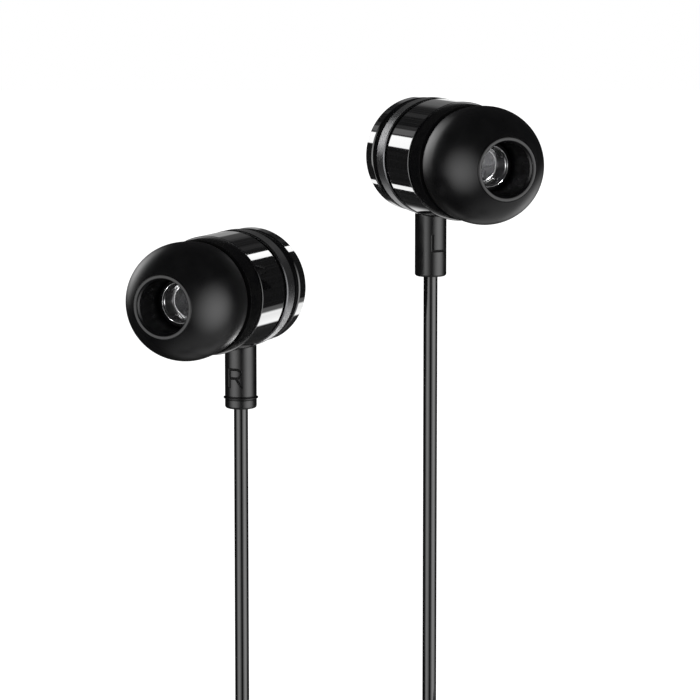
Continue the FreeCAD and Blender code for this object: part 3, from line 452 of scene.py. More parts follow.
for side in sides:
    foot = Vector(layout["feet"][side])
    outward = -1 if side == "right" else 1
    socket = splitterMiddle + Vector((outward * layout["socketReach"], 0, 0))
    centre = Vector((foot.x + outward * branchCord["radii"][branchCord["order"][0]], foot.y, 0))
    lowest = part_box(f"{side}_cord_hank")[0].z / mm
    lead = branchCord["lead"]
    start = [foot, foot - Vector((0, 0, lead)), Vector((foot.x, foot.y, branchCord["hankTop"] + lead))]
    wound = hankPoints(branchCord, centre, -outward, -outward * branchCord["step"], lowest)
    leave = wound[-1] - Vector((0, 0, branchCord["diameter"]))
    span = socket - leave
    lower = [leave + Vector((span.x * across, span.y * across, span.z * down))
             for across, down in branchCord["route"]]
    cordPiece(f"{side}_cord", branchCord, start + wound + lower)

mainStart = splitterMiddle - Vector((0, 0, layout["splitterLength"]))
mainCentre = mainStart + Vector((mainCord["radii"][mainCord["order"][0]], 0, 0))
wound = hankPoints(mainCord, mainCentre, -1, -mainCord["step"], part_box("main_cord_hank")[0].z / mm)
bendStart = wound[-1] + Vector((0, 0, mainCord["diameter"]))
leg = mainCord["loopLeg"]
loopReach = leg * math.sin(math.radians(mainCord["loopLean"]))
crest = leg * (1 + math.cos(math.radians(mainCord["loopLean"])))
bend = [bendStart + Vector((x, 0, z))
        for x, z in ((0, 0), (0, leg), (loopReach, crest), (2 * loopReach, leg), (2 * loopReach, 0))]
plugStart = bend[-1]
cordPiece("main_cord", mainCord, [mainStart] + wound + bend)
print("cords laid")

# Ties: ribbed rubber bands round the waists

tie = {
    "corner": 0.62,  # of the half depth
    "cornerSteps": 14,
    "rows": 48,
    "wall": 0.7,
    "inset": 0.15,
    "edge": 0.22,
    "ribs": 3,
    "ribDepth": 0.1,
    "sharp": 40.0,
}


def makeTie(name):
    low, high = (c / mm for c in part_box(name))
    middle = (low + high) / 2
    half = (high - low) / 2
    corner = min(half.x, half.y) * tie["corner"]
    loop = []
    for quarter, (sx, sy) in enumerate(((1, 1), (-1, 1), (-1, -1), (1, -1))):
        for k in range(tie["cornerSteps"] + 1):
            turn = math.radians(90 * quarter + 90 * k / tie["cornerSteps"])
            loop.append((Vector((sx * (half.x - corner), sy * (half.y - corner))),
                         Vector((math.cos(turn), math.sin(turn)))))
    section = []
    for k in range(tie["rows"] + 1):
        share = k / tie["rows"]
        level = (share - 0.5) * 2 * half.z
        edge = max(0.0, 1 - (half.z - abs(level)) / tie["edge"])
        rib = tie["ribDepth"] * (0.5 - 0.5 * math.cos(2 * math.pi * tie["ribs"] * share))
        drop = tie["edge"] * (1 - math.sqrt(max(0, 1 - edge ** 2)))
        section.append((corner - drop - rib * (1 - edge), level))
    inner = corner - tie["wall"]
    section += [(inner, half.z - tie["inset"]), (inner, -half.z + tie["inset"])]
    bm = bmesh.new()
    rings = [[bm.verts.new((middle + Vector((*(base + out * radius), level))) * mm)
              for radius, level in section] for base, out in loop]
    skin(bm, rings, closed=True)
    mesh = smoothMesh(name + "_band", bm, tie["sharp"])
    return addPiece(name + "_band", mesh, "tiePlastic", [name])


ties = {name: makeTie(f"{name}_cord_tie") for name in ("right", "left", "main")}

# Splitter

splitter = {
    "topRadius": 1.55,
    "footRadius": 1.75,
    "footSpread": 0.176,
    "straight": 3.85,
    "edge": 0.35,
    "grooves": (6.9, 8.0, 9.1),
    "grooveDepth": 0.16,
    "grooveWidth": 0.28,
    "rows": 150,
    "segments": 128,
}


def makeSplitter():
    s = splitter
    length = layout["splitterLength"]
    bm = bmesh.new()
    rings = []
    for row in range(s["rows"] + 1):
        level = length * row / s["rows"]
        share = max(0.0, (level - s["straight"]) / (length - s["straight"]))
        radius = s["topRadius"] + (s["footRadius"] - s["topRadius"]) * share
        spread = layout["socketReach"] + (s["footSpread"] - layout["socketReach"]) * share
        near = min(level, length - level) / s["edge"]
        if near < 1:
            radius -= s["edge"] * (1 - math.sqrt(1 - (1 - near) ** 2))
        for groove in s["grooves"]:
            radius -= s["grooveDepth"] * math.exp(-((level - groove) / s["grooveWidth"]) ** 2)
        ring = []
        for k in range(s["segments"]):
            turn = 2 * math.pi * (k + 0.5) / s["segments"]
            x = radius * math.cos(turn) + (spread if math.cos(turn) > 0 else -spread)
            ring.append(bm.verts.new((splitterMiddle + Vector((x, radius * math.sin(turn), -level))) * mm))
        rings.append(ring)
    skin(bm, rings, capped=True)
    return addPiece("cord_splitter", smoothMesh("cord_splitter", bm), "bootRubber", ["splitter"])


splitterPiece = makeSplitter()

# Plug: the strain relief and the body, the contacts stay as they are

plug = {
    "reliefLength": 9.0,
    "reliefTop": 1.5,
    "reliefFoot": 1.95,
    "ribs": 5,
    "ribDepth": 0.18,
    "ribForm": ((0.0, 0.0), (0.32, 0.0), (0.36, 1.0), (0.62, 1.0), (0.66, 0.0)),  # shares of pitch and depth
    "plainTop": 1.2,
    "bodyRadius": 2.75,
    "bodyLength": 14.0,
    "bevel": 0.6,
    "seam": ((2.3, 0.0), (2.2, 0.12), (2.0, 0.12), (1.9, 0.0)),  # above the end, depth
}


def reliefOutline():
    p = plug
    outline = [(0, 0), (p["reliefTop"], 0, 0.3)]
    pitch = (p["reliefLength"] - 2 * p["plainTop"]) / p["ribs"]
    for rib in range(p["ribs"]):
        for offset, depth in p["ribForm"]:
            station = p["plainTop"] + pitch * (rib + offset)
            radius = p["reliefTop"] + (p["reliefFoot"] - p["reliefTop"]) * station / p["reliefLength"]
            outline.append((radius - p["ribDepth"] * depth, station, 0.05))
    return outline + [(p["reliefFoot"], p["reliefLength"]), (0, p["reliefLength"])]


def plugOutline():
    radius, bevel = plug["bodyRadius"], plug["bevel"]
    top = plug["reliefLength"]
    end = top + plug["bodyLength"]
    return [
        (0, top),
        (radius - bevel, top, 0.15),
        (radius, top + bevel, 0.35),
        *((radius - depth, end - height, 0.04) for height, depth in plug["seam"]),
        (radius, end - bevel / 2, 0.1),
        (radius - bevel / 2, end, 0.1),
        (0, end),
    ]


hanging = Matrix.Translation(plugStart * mm) @ Matrix.Rotation(math.pi, 4, "X")
reliefPiece = addPiece("plug_relief", turnedMesh("plug_relief", reliefOutline(), 96, False), "bootRubber",
                       ["plug_strain_relief"], hanging)
plugPiece = addPiece("plug_shell", turnedMesh("plug_shell", plugOutline(), 128, False), "plugPlastic",
                     ["plug_body"], hanging)
print("splitter, ties and plug made")

# Ear tips

earTip = {
    "radius": 6.55, "crown": 5.6, "nose": 6.6, "rearDrop": 0.22, "length": 8.17, "wall": 0.62, "bore": 2.84,
    "lipInner": 3.12, "lipOuter": 3.55, "lipCrown": 0.035, "lipDepth": 0.225, "lipGroove": 0.24,
    "funnel": 0.19, "funnelFoot": 2.96, "taper": 2.4, "sleeveWall": 0.61,
    "sleeveRear": 8.6, "noseEdge": 0.05, "noseGain": 0.05, "bevel": 0.14, "hollow": 0.75, "ramp": 0.3,
}


def earTipOutline():
    t = earTip
    skirtRear = t["radius"] - t["rearDrop"]
    skirtArc = ((t["length"] - t["crown"]) ** 2 + t["rearDrop"] ** 2) / (2 * t["rearDrop"])
    sleeveOuter = t["bore"] + t["sleeveWall"]
    noseFoot = t["lipOuter"] + t["noseEdge"]
    centre = t["radius"] - t["nose"]
    noseStation = t["crown"] - math.sqrt(t["nose"] ** 2 - (noseFoot - centre) ** 2)
    hollowFront = sleeveOuter + t["hollow"]
    hollowArc = t["nose"] - t["wall"] - t["noseGain"]
    hollowStart = t["crown"] - math.sqrt(hollowArc ** 2 - (hollowFront - centre) ** 2)
    return [
        (noseFoot, noseStation, t["nose"], "left", 40),
        (t["radius"], t["crown"], skirtArc, "left", 12),
        (skirtRear, t["length"], 0.08),
        (skirtRear - t["wall"] + t["bevel"], t["length"], 0.05),
        (skirtRear - t["wall"], t["length"] - t["bevel"], 0.05),
        (centre + hollowArc, t["crown"], hollowArc, "right", 24),
        (hollowFront, hollowStart, 0.2),
        (sleeveOuter, hollowStart + t["ramp"], 0.2),
        (sleeveOuter, t["sleeveRear"], 0.1),
        (t["bore"], t["sleeveRear"], 0.1),
        (t["bore"], t["taper"], 0.3),
        (t["funnelFoot"], t["lipGroove"] + t["funnel"], 0.03),
        (t["lipInner"], t["lipGroove"], 0.03),
        (t["lipInner"], t["lipCrown"], 0.08),
        ((t["lipInner"] + t["lipOuter"]) / 2, 0, 0.6),
        (t["lipOuter"], t["lipCrown"], 0.1),
        (t["lipOuter"], t["lipDepth"], 0.04),
    ]


# Shells

shell = {
    "barrelRadius": 6.65, "barrelWall": 0.47, "barrelFront": 11.29, "barrelRear": 16.87, "bevel": 0.12,
    "frontBevel": 0.05, "ringRadius": 6.68, "ringInner": 6.12, "ringFront": 17.62, "ringRear": 19.5,
    "capRadius": 6.55, "capStep": 6.35, "capFront": 21.0, "capRear": 22.9, "capWall": 1.2, "capBevel": 0.3,
    "capDish": 0.12, "dishRim": 0.95, "capSkin": 0.4, "spigotOuter": 5.28, "spigotWall": 0.55,
    "spigotFront": 18.3, "outlet": 19.2, "outletRadius": 1.04, "pocketRadius": 1.58, "pocketFoot": 5.34,
    "pocketDepth": 1.4, "cutSpare": 1,
}
housing = {
    "radius": 6.47, "front": 8.75, "edge": 0.02, "nozzleFront": 4.41, "head": 0.9, "neck": 0.16,
    "bevel": 0.12, "headRadius": 2.78, "seatRadius": 2.38, "seatRear": 6.96, "soundBore": 2.0,
    "faceRear": 9.55, "bay": 5.05, "spigot": 6.16, "spigotRear": 13.4,
}
grille = {
    "radius": 2.36, "tube": 2.14, "front": 4.41, "depth": 2.1, "plate": 0.45, "bead": 0.16, "throat": 0.42,
    "relief": 0.1, "slope": 0.06, "beadGap": 0.03, "face": 1.79, "faceEdge": 2.04, "faceRise": 0.055,
    "hole": 0.62, "pitch": 1.02, "holes": 3, "firstHole": 30.0, "holeBevel": 0.1, "cutAbove": 0.5,
    "cutBelow": 1, "screenRadius": 1.78, "wire": 0.036, "wireSides": 6, "wirePitch": 0.13, "weave": 0.03,
    "weaveSteps": 8, "screenSharp": 60.0,
}


def housingOutline():
    h = housing
    neck = h["headRadius"] - h["neck"]
    headRear = h["nozzleFront"] + h["head"]
    return [
        (h["seatRadius"], h["nozzleFront"], 0.02),
        (h["headRadius"] - h["bevel"], h["nozzleFront"], 0.04),
        (h["headRadius"], h["nozzleFront"] + h["bevel"], 0.04),
        (h["headRadius"], headRear, 0.03),
        (neck, headRear + h["neck"], 0.03),
        (neck, h["front"], 0.1),
        (h["radius"] - h["edge"], h["front"], 0.008),
        (h["radius"], h["front"] + h["edge"], 0.008),
        (h["radius"], shell["barrelFront"], 0.03),
        (h["spigot"], shell["barrelFront"]),
        (h["spigot"], h["spigotRear"], 0.05),
        (h["bay"], h["spigotRear"], 0.05),
        (h["bay"], h["faceRear"], 0.03),
        (h["soundBore"], h["faceRear"], 0.05),
        (h["soundBore"], h["seatRear"], 0.05),
        (h["seatRadius"], h["seatRear"]),
    ]


def barrelOutline():
    s = shell
    r, b, f = s["barrelRadius"], s["bevel"], s["frontBevel"]
    return [
        (r - s["barrelWall"], s["barrelFront"], 0.03),
        (r - f, s["barrelFront"], 0.02),
        (r, s["barrelFront"] + f, 0.02),
        (r, s["barrelRear"] - b, 0.03),
        (r - b, s["barrelRear"], 0.02),
        (r - s["barrelWall"], s["barrelRear"], 0.03),
    ]


def ringOutline():
    s = shell
    r, b = s["ringRadius"], s["bevel"]
    return [
        (s["ringInner"], s["ringFront"]),
        (r - b, s["ringFront"], 0.03),
        (r, s["ringFront"] + b, 0.04),
        (r, s["ringRear"] - b, 0.04),
        (r - b, s["ringRear"], 0.03),
        (s["ringInner"], s["ringRear"]),
    ]


def capOutline():
    s = shell
    r, b = s["capRadius"], s["bevel"]
    rim = r - s["dishRim"]
    dish = s["capRear"] - s["capDish"]
    return [
        (s["capStep"], s["capFront"]),
        (r - b, s["capFront"], 0.02),
        (r, s["capFront"] + b, 0.03),
        (r, s["capRear"] - s["capBevel"], 0.12),
        (r - s["capBevel"], s["capRear"], 0.12),
        (rim, s["capRear"], 0.05),
        (rim - s["capDish"], dish, 0.05),
        (0, dish),
        (0, dish - s["capSkin"]),
        (s["capStep"], dish - s["capSkin"]),
    ]


def capNeckOutline():
    s = shell
    inner = s["spigotOuter"] - s["spigotWall"]
    back = s["capRear"] - s["capWall"]
    rear = s["capRear"] - s["capDish"] - s["capSkin"]
    return [
        (0, back),
        (inner, back),
        (inner, s["spigotFront"], 0.04),
        (s["spigotOuter"], s["spigotFront"], 0.04),
        (s["spigotOuter"], s["ringRear"], 0.03),
        (s["capStep"], s["ringRear"], 0.03),
        (s["capStep"], rear),
        (0, rear),
    ]


def grilleOutline():
    # A round bead, a fine groove, the tube, another groove and the plate with its sloped edge
    g = grille
    inner = g["radius"] - g["bead"]
    beadMiddle = g["front"] + g["bead"] / 2
    plateFront = g["front"] + g["depth"]
    return [
        (0, plateFront),
        (g["face"], plateFront, 0.03),
        (g["faceEdge"], plateFront - g["faceRise"], 0.03),
        (g["faceEdge"], plateFront + g["slope"], 0.02),
        (g["tube"], plateFront + g["slope"], 0.02),
        (g["tube"], g["front"] + g["throat"], 0.03),
        (g["tube"] + g["relief"], g["front"] + g["throat"] - g["slope"], 0.02),
        (g["tube"] + g["relief"], g["front"] + g["bead"] + g["beadGap"], 0.02),
        (inner, beadMiddle + g["beadGap"]),
        (inner, beadMiddle, g["bead"] / 2, "left", 8),
        (g["radius"], beadMiddle),
        (g["radius"], plateFront + g["plate"], 0.04),
        (0, plateFront + g["plate"]),
    ]


def cutAway(piece, cutters):
    # Takes the cutters' forms out of the piece, then deletes them
    for cutter in cutters:
        cut = piece.modifiers.new("cut", "BOOLEAN")
        cut.operation = "DIFFERENCE"
        cut.solver = "EXACT"
        cut.object = cutter
    bpy.context.view_layer.update()
    result = bpy.data.meshes.new_from_object(piece.evaluated_get(bpy.context.evaluated_depsgraph_get()))
    result.name = piece.name
    piece.modifiers.clear()
    piece.data = result
    for cutter in cutters:
        bpy.data.objects.remove(cutter)
    result.set_sharp_from_angle(angle=math.radians(meshing["sharp"]))


def makeCutter(corners, place):
    cutter = bpy.data.objects.new("cutter", turnedMesh("cutter", corners, 96, False))
    scene.collection.objects.link(cutter)
    cutter.matrix_world = place
    return cutter


def outletCutter(place, radius, high, low):
    # A round pin that crosses the shell below the axis, where the boot goes in
    down = Matrix.Translation((0, 0, shell["outlet"] * mm)) @ Matrix.Rotation(math.pi / 2, 4, "X")
    return makeCutter([(0, high), (radius, high), (radius, low), (0, low)], place @ down)


def holeCutters(place):
    g = grille
    front = g["front"] + g["depth"]
    wide = g["hole"] + g["holeBevel"]
    top, foot = front - g["cutAbove"], front + g["cutBelow"]
    profile = [(0, top), (wide, top), (wide, front),
               (g["hole"], front + g["holeBevel"], 0.1), (g["hole"], foot), (0, foot)]
    turns = [math.radians(g["firstHole"] + 360 * hole / g["holes"]) for hole in range(g["holes"])]
    shifts = [Vector((math.cos(turn), math.sin(turn), 0)) * g["pitch"] * mm for turn in turns]
    return [makeCutter(profile, place @ Matrix.Translation(shift)) for shift in shifts]


def screenMesh(name):
    # Plain weave of fine wires on the plate
    g = grille
    bm = bmesh.new()
    pitch, reach = g["wirePitch"], g["screenRadius"]
    middle = g["front"] + g["depth"] - g["weave"] - g["wire"]
    count = int(reach / pitch)
    turns = [2 * math.pi * j / g["wireSides"] for j in range(g["wireSides"])]
    for along in (0, 1):
        for k in range(-count, count + 1):
            off = k * pitch
            half = math.sqrt(reach ** 2 - off ** 2)
            steps = max(2, round(half / pitch * g["weaveSteps"]))
            rings = []
            for i in range(steps + 1):
                way = -half + 2 * half * i / steps
                wave = g["weave"] * math.cos(math.pi * (way / pitch + k)) * (1 if along else -1)
                ring = []
                for turn in turns:
                    a, b = off + g["wire"] * math.cos(turn), middle + wave + g["wire"] * math.sin(turn)
                    ring.append(bm.verts.new(Vector((way, a, b) if along else (a, way, b)) * mm))
                rings.append(ring)
            skin(bm, rings, capped=True)
    return smoothMesh(name, bm, g["screenSharp"])


# Boots: the collar with its saddle, mark and ridge, and the stem and flange that hold it

boot = {
    "radius": 1.8, "length": 13.68, "round": 0.3, "bore": 0.62, "boreEdge": 0.06, "saddle": 6.72,
    "station": 19.2, "stem": 1.0, "rise": 9.2, "flange": 1.5, "flangeHeight": 0.6, "edge": 0.06,
    "ridgeRise": 1.22, "ridgeHalf": 0.12, "ridgeProud": 0.17, "groove": 0.05, "grooveHalf": 0.07,
    "grooveGap": 0.02, "saddleRadii": (1.6, 1.3), "sharp": 50.0,
    "columns": 288, "fine": 0.037, "roundSteps": 8, "lowSteps": 20, "ridgeSteps": 24, "highSteps": 14,
    "edgeSteps": 4, "ridgeRows": 2.4, "ridgeClear": 2.5,
}
mark = {
    "depth": 0.16, "half": 0.095, "slope": 0.04, "width": 1.46, "margin": 0.3,
    "reach": 1.2,  # radians from the front
    "turn": {"right": 6.0, "left": 5.95},  # degrees
    "height": {"right": 3.57, "left": 3.875},
    "tall": {"right": 2.0, "left": 1.75},
}


def markStrokes(side):
    # Lines of the letter, from -1 to 1 across and up
    if side == "left":
        return [((-1, 1), (-1, -1)), ((-1, -1), (1, -1))]
    bowl = [(0.25 + 0.6 * math.sin(math.radians(t)), 0.5 + 0.5 * math.cos(math.radians(t)))
            for t in range(0, 181, 18)]
    return [((-1, -1), (-1, 1)), ((-1, 1), bowl[0]), *zip(bowl, bowl[1:]), (bowl[-1], (-1, 0)),
            ((0.1, 0), (1, -1))]


def strokeDistance(point, first, last):
    way = last - first
    share = min(1, max(0, (point - first).dot(way) / way.length_squared))
    return (point - first - way * share).length


def arcRows(steps):
    # Falls from 1 to 0 and rises from 0 to 1 over a quarter turn
    for step in range(steps + 1):
        bend = math.pi / 2 * step / steps
        yield 1 - math.sin(bend), 1 - math.cos(bend)


def bootMesh(name, side):
    b = boot
    half = Vector((mark["width"] / 2, mark["tall"][side] / 2))
    strokes = [[Vector(p) * half for p in line] for line in markStrokes(side)]
    markLow = mark["height"][side] - half.y - mark["margin"]
    markHigh = mark["height"][side] + half.y + mark["margin"]
    lowRows = [b["round"] + (markLow - b["round"]) * k / b["lowSteps"] for k in range(1, b["lowSteps"])]
    if side == "right":
        near = [b["ridgeRise"] + b["ridgeHalf"] * b["ridgeRows"] * (k / b["ridgeSteps"] - 1)
                for k in range(2 * b["ridgeSteps"] + 1)]
        clear = b["ridgeHalf"] * b["ridgeClear"]
        lowRows = sorted([h for h in lowRows if abs(h - b["ridgeRise"]) > clear] + near)
    markCount = round((markHigh - markLow) / b["fine"])
    markRows = [markLow + (markHigh - markLow) * k / markCount for k in range(markCount + 1)]

    def sideRadius(turn, height):
        radius = b["radius"]
        if side == "right":
            away = abs(height - b["ridgeRise"])
            if away < b["ridgeHalf"]:
                radius += b["ridgeProud"] * math.sqrt(1 - (away / b["ridgeHalf"]) ** 2)
            else:
                beyond = (away - b["ridgeHalf"] - b["grooveGap"]) / b["grooveHalf"]
                radius -= b["groove"] * math.exp(-beyond ** 2)
        if markLow < height < markHigh and abs(turn) < mark["reach"]:
            across = (turn - math.radians(mark["turn"][side])) * b["radius"]
            point = Vector((across, height - mark["height"][side]))
            near = min(strokeDistance(point, *line) for line in strokes)
            share = min(1, max(0, (mark["half"] + mark["slope"] - near) / mark["slope"]))
            radius -= mark["depth"] * share * share * (3 - 2 * share)
        return radius

    def saddleHeight(radius, turn):
        return b["length"] - math.sqrt(b["saddle"] ** 2 - (radius * math.sin(turn)) ** 2)

    def profileAt(turn):
        top = saddleHeight(b["radius"], turn)
        rows = [(b["bore"], b["boreEdge"]), (b["bore"] + b["boreEdge"], 0.0), (b["stem"], 0.0)]
        rows += [(b["radius"] - b["round"] * fall, b["round"] * rise)
                 for fall, rise in arcRows(b["roundSteps"])]
        rows += [(sideRadius(turn, h), h) for h in lowRows + markRows]
        rows += [(b["radius"], markHigh + (top - b["edge"] - markHigh) * step / b["highSteps"])
                 for step in range(1, b["highSteps"] + 1)]
        rows += [(b["radius"] - b["edge"] * rise, top - b["edge"] * fall)
                 for fall, rise in list(arcRows(b["edgeSteps"]))[1:]]
        rows += [(radius, saddleHeight(radius, turn)) for radius in (*b["saddleRadii"], b["stem"])]
        shoulder = b["rise"] - b["flangeHeight"]
        return rows + [(b["stem"], shoulder), (b["flange"], shoulder), (b["flange"], b["rise"]),
                       (b["bore"], b["rise"])]

    bm = bmesh.new()
    columns = []
    for k in range(b["columns"]):
        turn = 2 * math.pi * (k / b["columns"] - 0.5)
        spots = [Vector((-r * math.sin(turn), h - b["length"], b["station"] - r * math.cos(turn)))
                 for r, h in profileAt(turn)]
        columns.append([bm.verts.new(spot * mm) for spot in spots])
    skin(bm, columns, closed=True)
    return smoothMesh(name, bm, b["sharp"])


def makeEarpiece(side):
    place = places[side]
    reach = shell["ringRadius"] + shell["cutSpare"]
    stemTop = boot["length"] - boot["rise"]

    def add(name, mesh, finish, replaced, body="root", slot=None):
        return addPiece(name, mesh, finish, [f"{side}_{node}" for node in replaced], place, body, slot)

    def turned(name, outline, segments, closed, finish, *replaced, body="root"):
        name = f"{side}_{name}"
        return add(name, turnedMesh(name, outline, segments, closed), finish, replaced, body)

    turned("silicone_tip", earTipOutline(), 256, True, "silicone", "ear_tip", body=f"{side}_tip")
    turned("front_band", housingOutline(), 256, True, "satinBlack", "front_housing")
    plate = turned("nozzle_plate", grilleOutline(), 192, False, "grilleSteel", "nozzle_grille")
    cutAway(plate, holeCutters(place))
    screen = f"{side}_nozzle_screen"
    add(screen, screenMesh(screen), "screenSteel", (), slot="grille_steel")
    turned("mirror_barrel", barrelOutline(), 320, True, "mirrorBlack", "barrel")
    ring = turned("satin_ring", ringOutline(), 320, True, "satinMetal", "trim_ring")
    cutAway(ring, [outletCutter(place, shell["outletRadius"], stemTop, reach)])
    turned("mirror_cap", capOutline(), 320, False, "mirrorBlack", "rear_cap")
    neck = turned("cap_neck", capNeckOutline(), 256, False, "satinBlack")
    cutAway(neck, [outletCutter(place, shell["outletRadius"], stemTop, reach),
                   outletCutter(place, shell["pocketRadius"], stemTop - shell["pocketDepth"],
                                shell["pocketFoot"])])
    marked = f"{side}_marked_boot"
    add(marked, bootMesh(marked, side), "bootRubber", ("boot",))


for side in sides:
    makeEarpiece(side)
print("earpieces made")

# Finishes of the CAD pieces that stay

insideFinish = {
    "driver_gasket": "foam", "driver_cover": "coverSteel", "diaphragm": "film", "voice_coil": "copper",
    "pole_plate": "zincSteel", "magnet": "nickel", "yoke": "zincSteel", "driver_frame": "framePlastic",
    "damping_paper": "paper", "terminal_board": "board", "rear_housing": "satinBlack",
    "crimp": "brassCrimp", "lead_wires": "copper",
}
carried = {f"{side}_{name}": finish for side in sides for name, finish in insideFinish.items()}
carried.update({f"plug_{name}_contact": "contactMetal" for name in ("sleeve", "ring", "tip")})
carried["plug_insulator"] = "insulatorPlastic"
carriedSharp = 30.0  # degrees
for name, finish in carried.items():
    node = nodes[name]
    node.data.materials.clear()
    node.data.materials.append(materials[finish])
    node.data.shade_smooth()
    node.data.set_sharp_from_angle(angle=math.radians(carriedSharp))
    slotName(finish)
print("carried pieces finished:", len(carried))

# Floor, surroundings and lights. Glossy rays pass the floor and see a dark room with two soft boxes in front.
# Each ear tip also sees its own panels behind it, each nozzle its own in front, and each earpiece's mirror
# and satin metal a ring of light strips behind it, as on a product table

studio = {
    "floorLevel": -176.0,  # mm
    "floorMiddle": (0.02, 0.02),
    "floorSize": 3.0,
    "floorColour": (0.79, 0.81),
    "floorGlow": 0.55,
    "mottle": 40.0,
    "ambient": 0.8,
    "darkGloss": 0.018,
    "belowGloss": 0.72,
    "belowFrom": (0.405, 0.035, -0.914),
    "belowSpan": (0.55, 1.0),
}


def makeFloor():
    bm = bmesh.new()
    bmesh.ops.create_grid(bm, x_segments=1, y_segments=1, size=studio["floorSize"])
    mesh = bpy.data.meshes.new("paleFloor")
    bm.to_mesh(mesh)
    bm.free()
    floor = bpy.data.objects.new("paleFloor", mesh)
    floor.location = (*studio["floorMiddle"], studio["floorLevel"] * mm)
    scene.collection.objects.link(floor)
    material, tree = newNodes("paleFloor")
    rays = addNode(tree, "ShaderNodeLightPath").outputs
    mottle = noiseNode(tree, objectPlace(tree), studio["mottle"])
    shade = ranged(tree, mottle, *surface["noiseSpan"], *studio["floorColour"])
    diffuse = addNode(tree, "ShaderNodeBsdfDiffuse", {"Color": shade})
    glow = mathNode(tree, "MULTIPLY", rays["Is Camera Ray"], studio["floorGlow"])
    both = addNode(tree, "ShaderNodeAddShader", {
        0: diffuse.outputs[0],
        1: addNode(tree, "ShaderNodeEmission", {"Strength": glow}).outputs[0],
    })
    addNode(tree, "ShaderNodeOutputMaterial", {0: both.outputs[0]})
    mesh.materials.append(material)
    floor.visible_glossy = False
    floor.visible_transmission = False


def makeWorld():
    world = bpy.data.worlds.new("paleStudio")
    scene.world = world
    world.use_nodes = True
    tree = world.node_tree
    tree.nodes.clear()
    rays = addNode(tree, "ShaderNodeLightPath").outputs
    direction = addNode(tree, "ShaderNodeTexCoord").outputs["Generated"]
    toward = addNode(tree, "ShaderNodeVectorMath", {0: direction, 1: studio["belowFrom"]},
                     operation="DOT_PRODUCT")
    below = ranged(tree, toward.outputs["Value"], *studio["belowSpan"], studio["darkGloss"],
                   studio["belowGloss"])
    seen = mathNode(tree, "MAXIMUM", rays["Is Glossy Ray"], rays["Is Transmission Ray"])
    gloss = mathNode(tree, "MULTIPLY", seen, below)
    rest = mathNode(tree, "MULTIPLY", mathNode(tree, "SUBTRACT", 1.0, seen), studio["ambient"])
    both = mathNode(tree, "ADD", gloss, rest)
    strength = mathNode(tree, "MAXIMUM", both, rays["Is Camera Ray"])
    background = addNode(tree, "ShaderNodeBackground", {"Strength": strength})
    background.inputs["Color"].default_value = (1, 1, 1, 1)
    addNode(tree, "ShaderNodeOutputWorld", {0: background.outputs[0]})


# Panels of light: azimuth from +Y to +X, elevation, angular width and height, all in degrees, then the
# radiance and the one piece that the panel lights, if not all
softboxes = {
    "middle": (15, 10, 0),  # mm
    "falloff": 3.0,
    "fade": (0.6, 1.0),
    "boxes": {
        "rightSoftbox": (120, -9, 94, 94, 5.2, None),
        "leftSoftbox": (-134, -7, 94, 94, 4.3, None),
        "rightTipLeft": (-38, 15, 52, 50, 2.9, "right_silicone_tip"),
        "leftTipLeft": (-34, 11, 46, 46, 2.6, "left_silicone_tip"),
        "rightTipRight": (20, -5, 28, 52, 1.3, "right_silicone_tip"),
        "rightTipLow": (11, -18, 20, 20, 5.0, "right_silicone_tip"),
        "leftTipRight": (36, -26, 50, 48, 1.5, "left_silicone_tip"),
        "rightTipBelow": (0, -42, 70, 34, 0.8, "right_silicone_tip"),
        "leftTipBelow": (0, -42, 70, 34, 0.5, "left_silicone_tip"),
        "rightNozzleLight": (170, -4, 24, 24, 18.0, "right_nozzle_plate"),
        "leftNozzleLight": (-170, -4, 24, 24, 18.0, "left_nozzle_plate"),
        "rightScreenLight": (180, -12, 70, 60, 13.0, "right_nozzle_screen"),
        "leftScreenLight": (180, -12, 70, 60, 20.0, "left_nozzle_screen"),
        "rightNozzleLow": (-146, -22, 12, 8, 120.0, "right_nozzle_plate"),
        "rightNozzleHigh": (-143, 14, 12, 8, 260.0, "right_nozzle_plate"),
        "leftNozzleLow": (146, -22, 9, 6, 30.0, "left_nozzle_plate"),
        "leftNozzleHigh": (143, 14, 12, 8, 320.0, "left_nozzle_plate"),
    },
}

# Light strips behind each earpiece, on a flat ring round its axis: each strip's middle round the axis from
# the earpiece's outer side, upwards, half its width and its soft edge in degrees, and its radiance
strips = {
    "distance": 1.0, "inner": 12.0, "outer": 40.0, "station": 14.0, "segments": 120,
    "streaks": 0.05, "streakSpan": (0.45, 0.75),
    "streakNoise": {"Scale": 0.35, "Detail": 3.0, "Roughness": 0.6},
    "MirrorStrips": {
        "lit": ("mirror_barrel", "mirror_cap"), "further": 0.0,
        "right": {"dark": 0.013, "strips": [
            (69, 6.5, 0.7, 6.3), (-59, 11, 5, 4.5), (-43, 6, 3, 0.5), (92, 3, 4, 0.06), (138, 8, 16, 0.12),
            (175, 27, 6, 0.5), (-154, 12, 4, 0.8)]},
        "left": {"dark": 0.016, "strips": [
            (27.3, 10.3, 2, 6.9), (47.5, 4.5, 3, 0.6), (58, 1.5, 3, 0.1), (89, 3, 4, 0.07),
            (-64.8, 4.3, 0.8, 4.6), (-145, 16, 20, 1.2), (150, 20, 20, 0.28), (180, 16, 8, 1.0)]},
    },
    "SatinStrips": {
        "lit": ("satin_ring",), "further": 0.05,
        "right": {"dark": 0.12, "strips": [(-88, 32, 30, 1.4), (-40, 5, 30, 0.3), (72, 8, 30, 0.1)]},
        "left": {"dark": 0.12, "strips": [(32, 8, 36, 3.0), (62, 4, 14, 0.2), (-120, 40, 30, 0.8)]},
    },
}


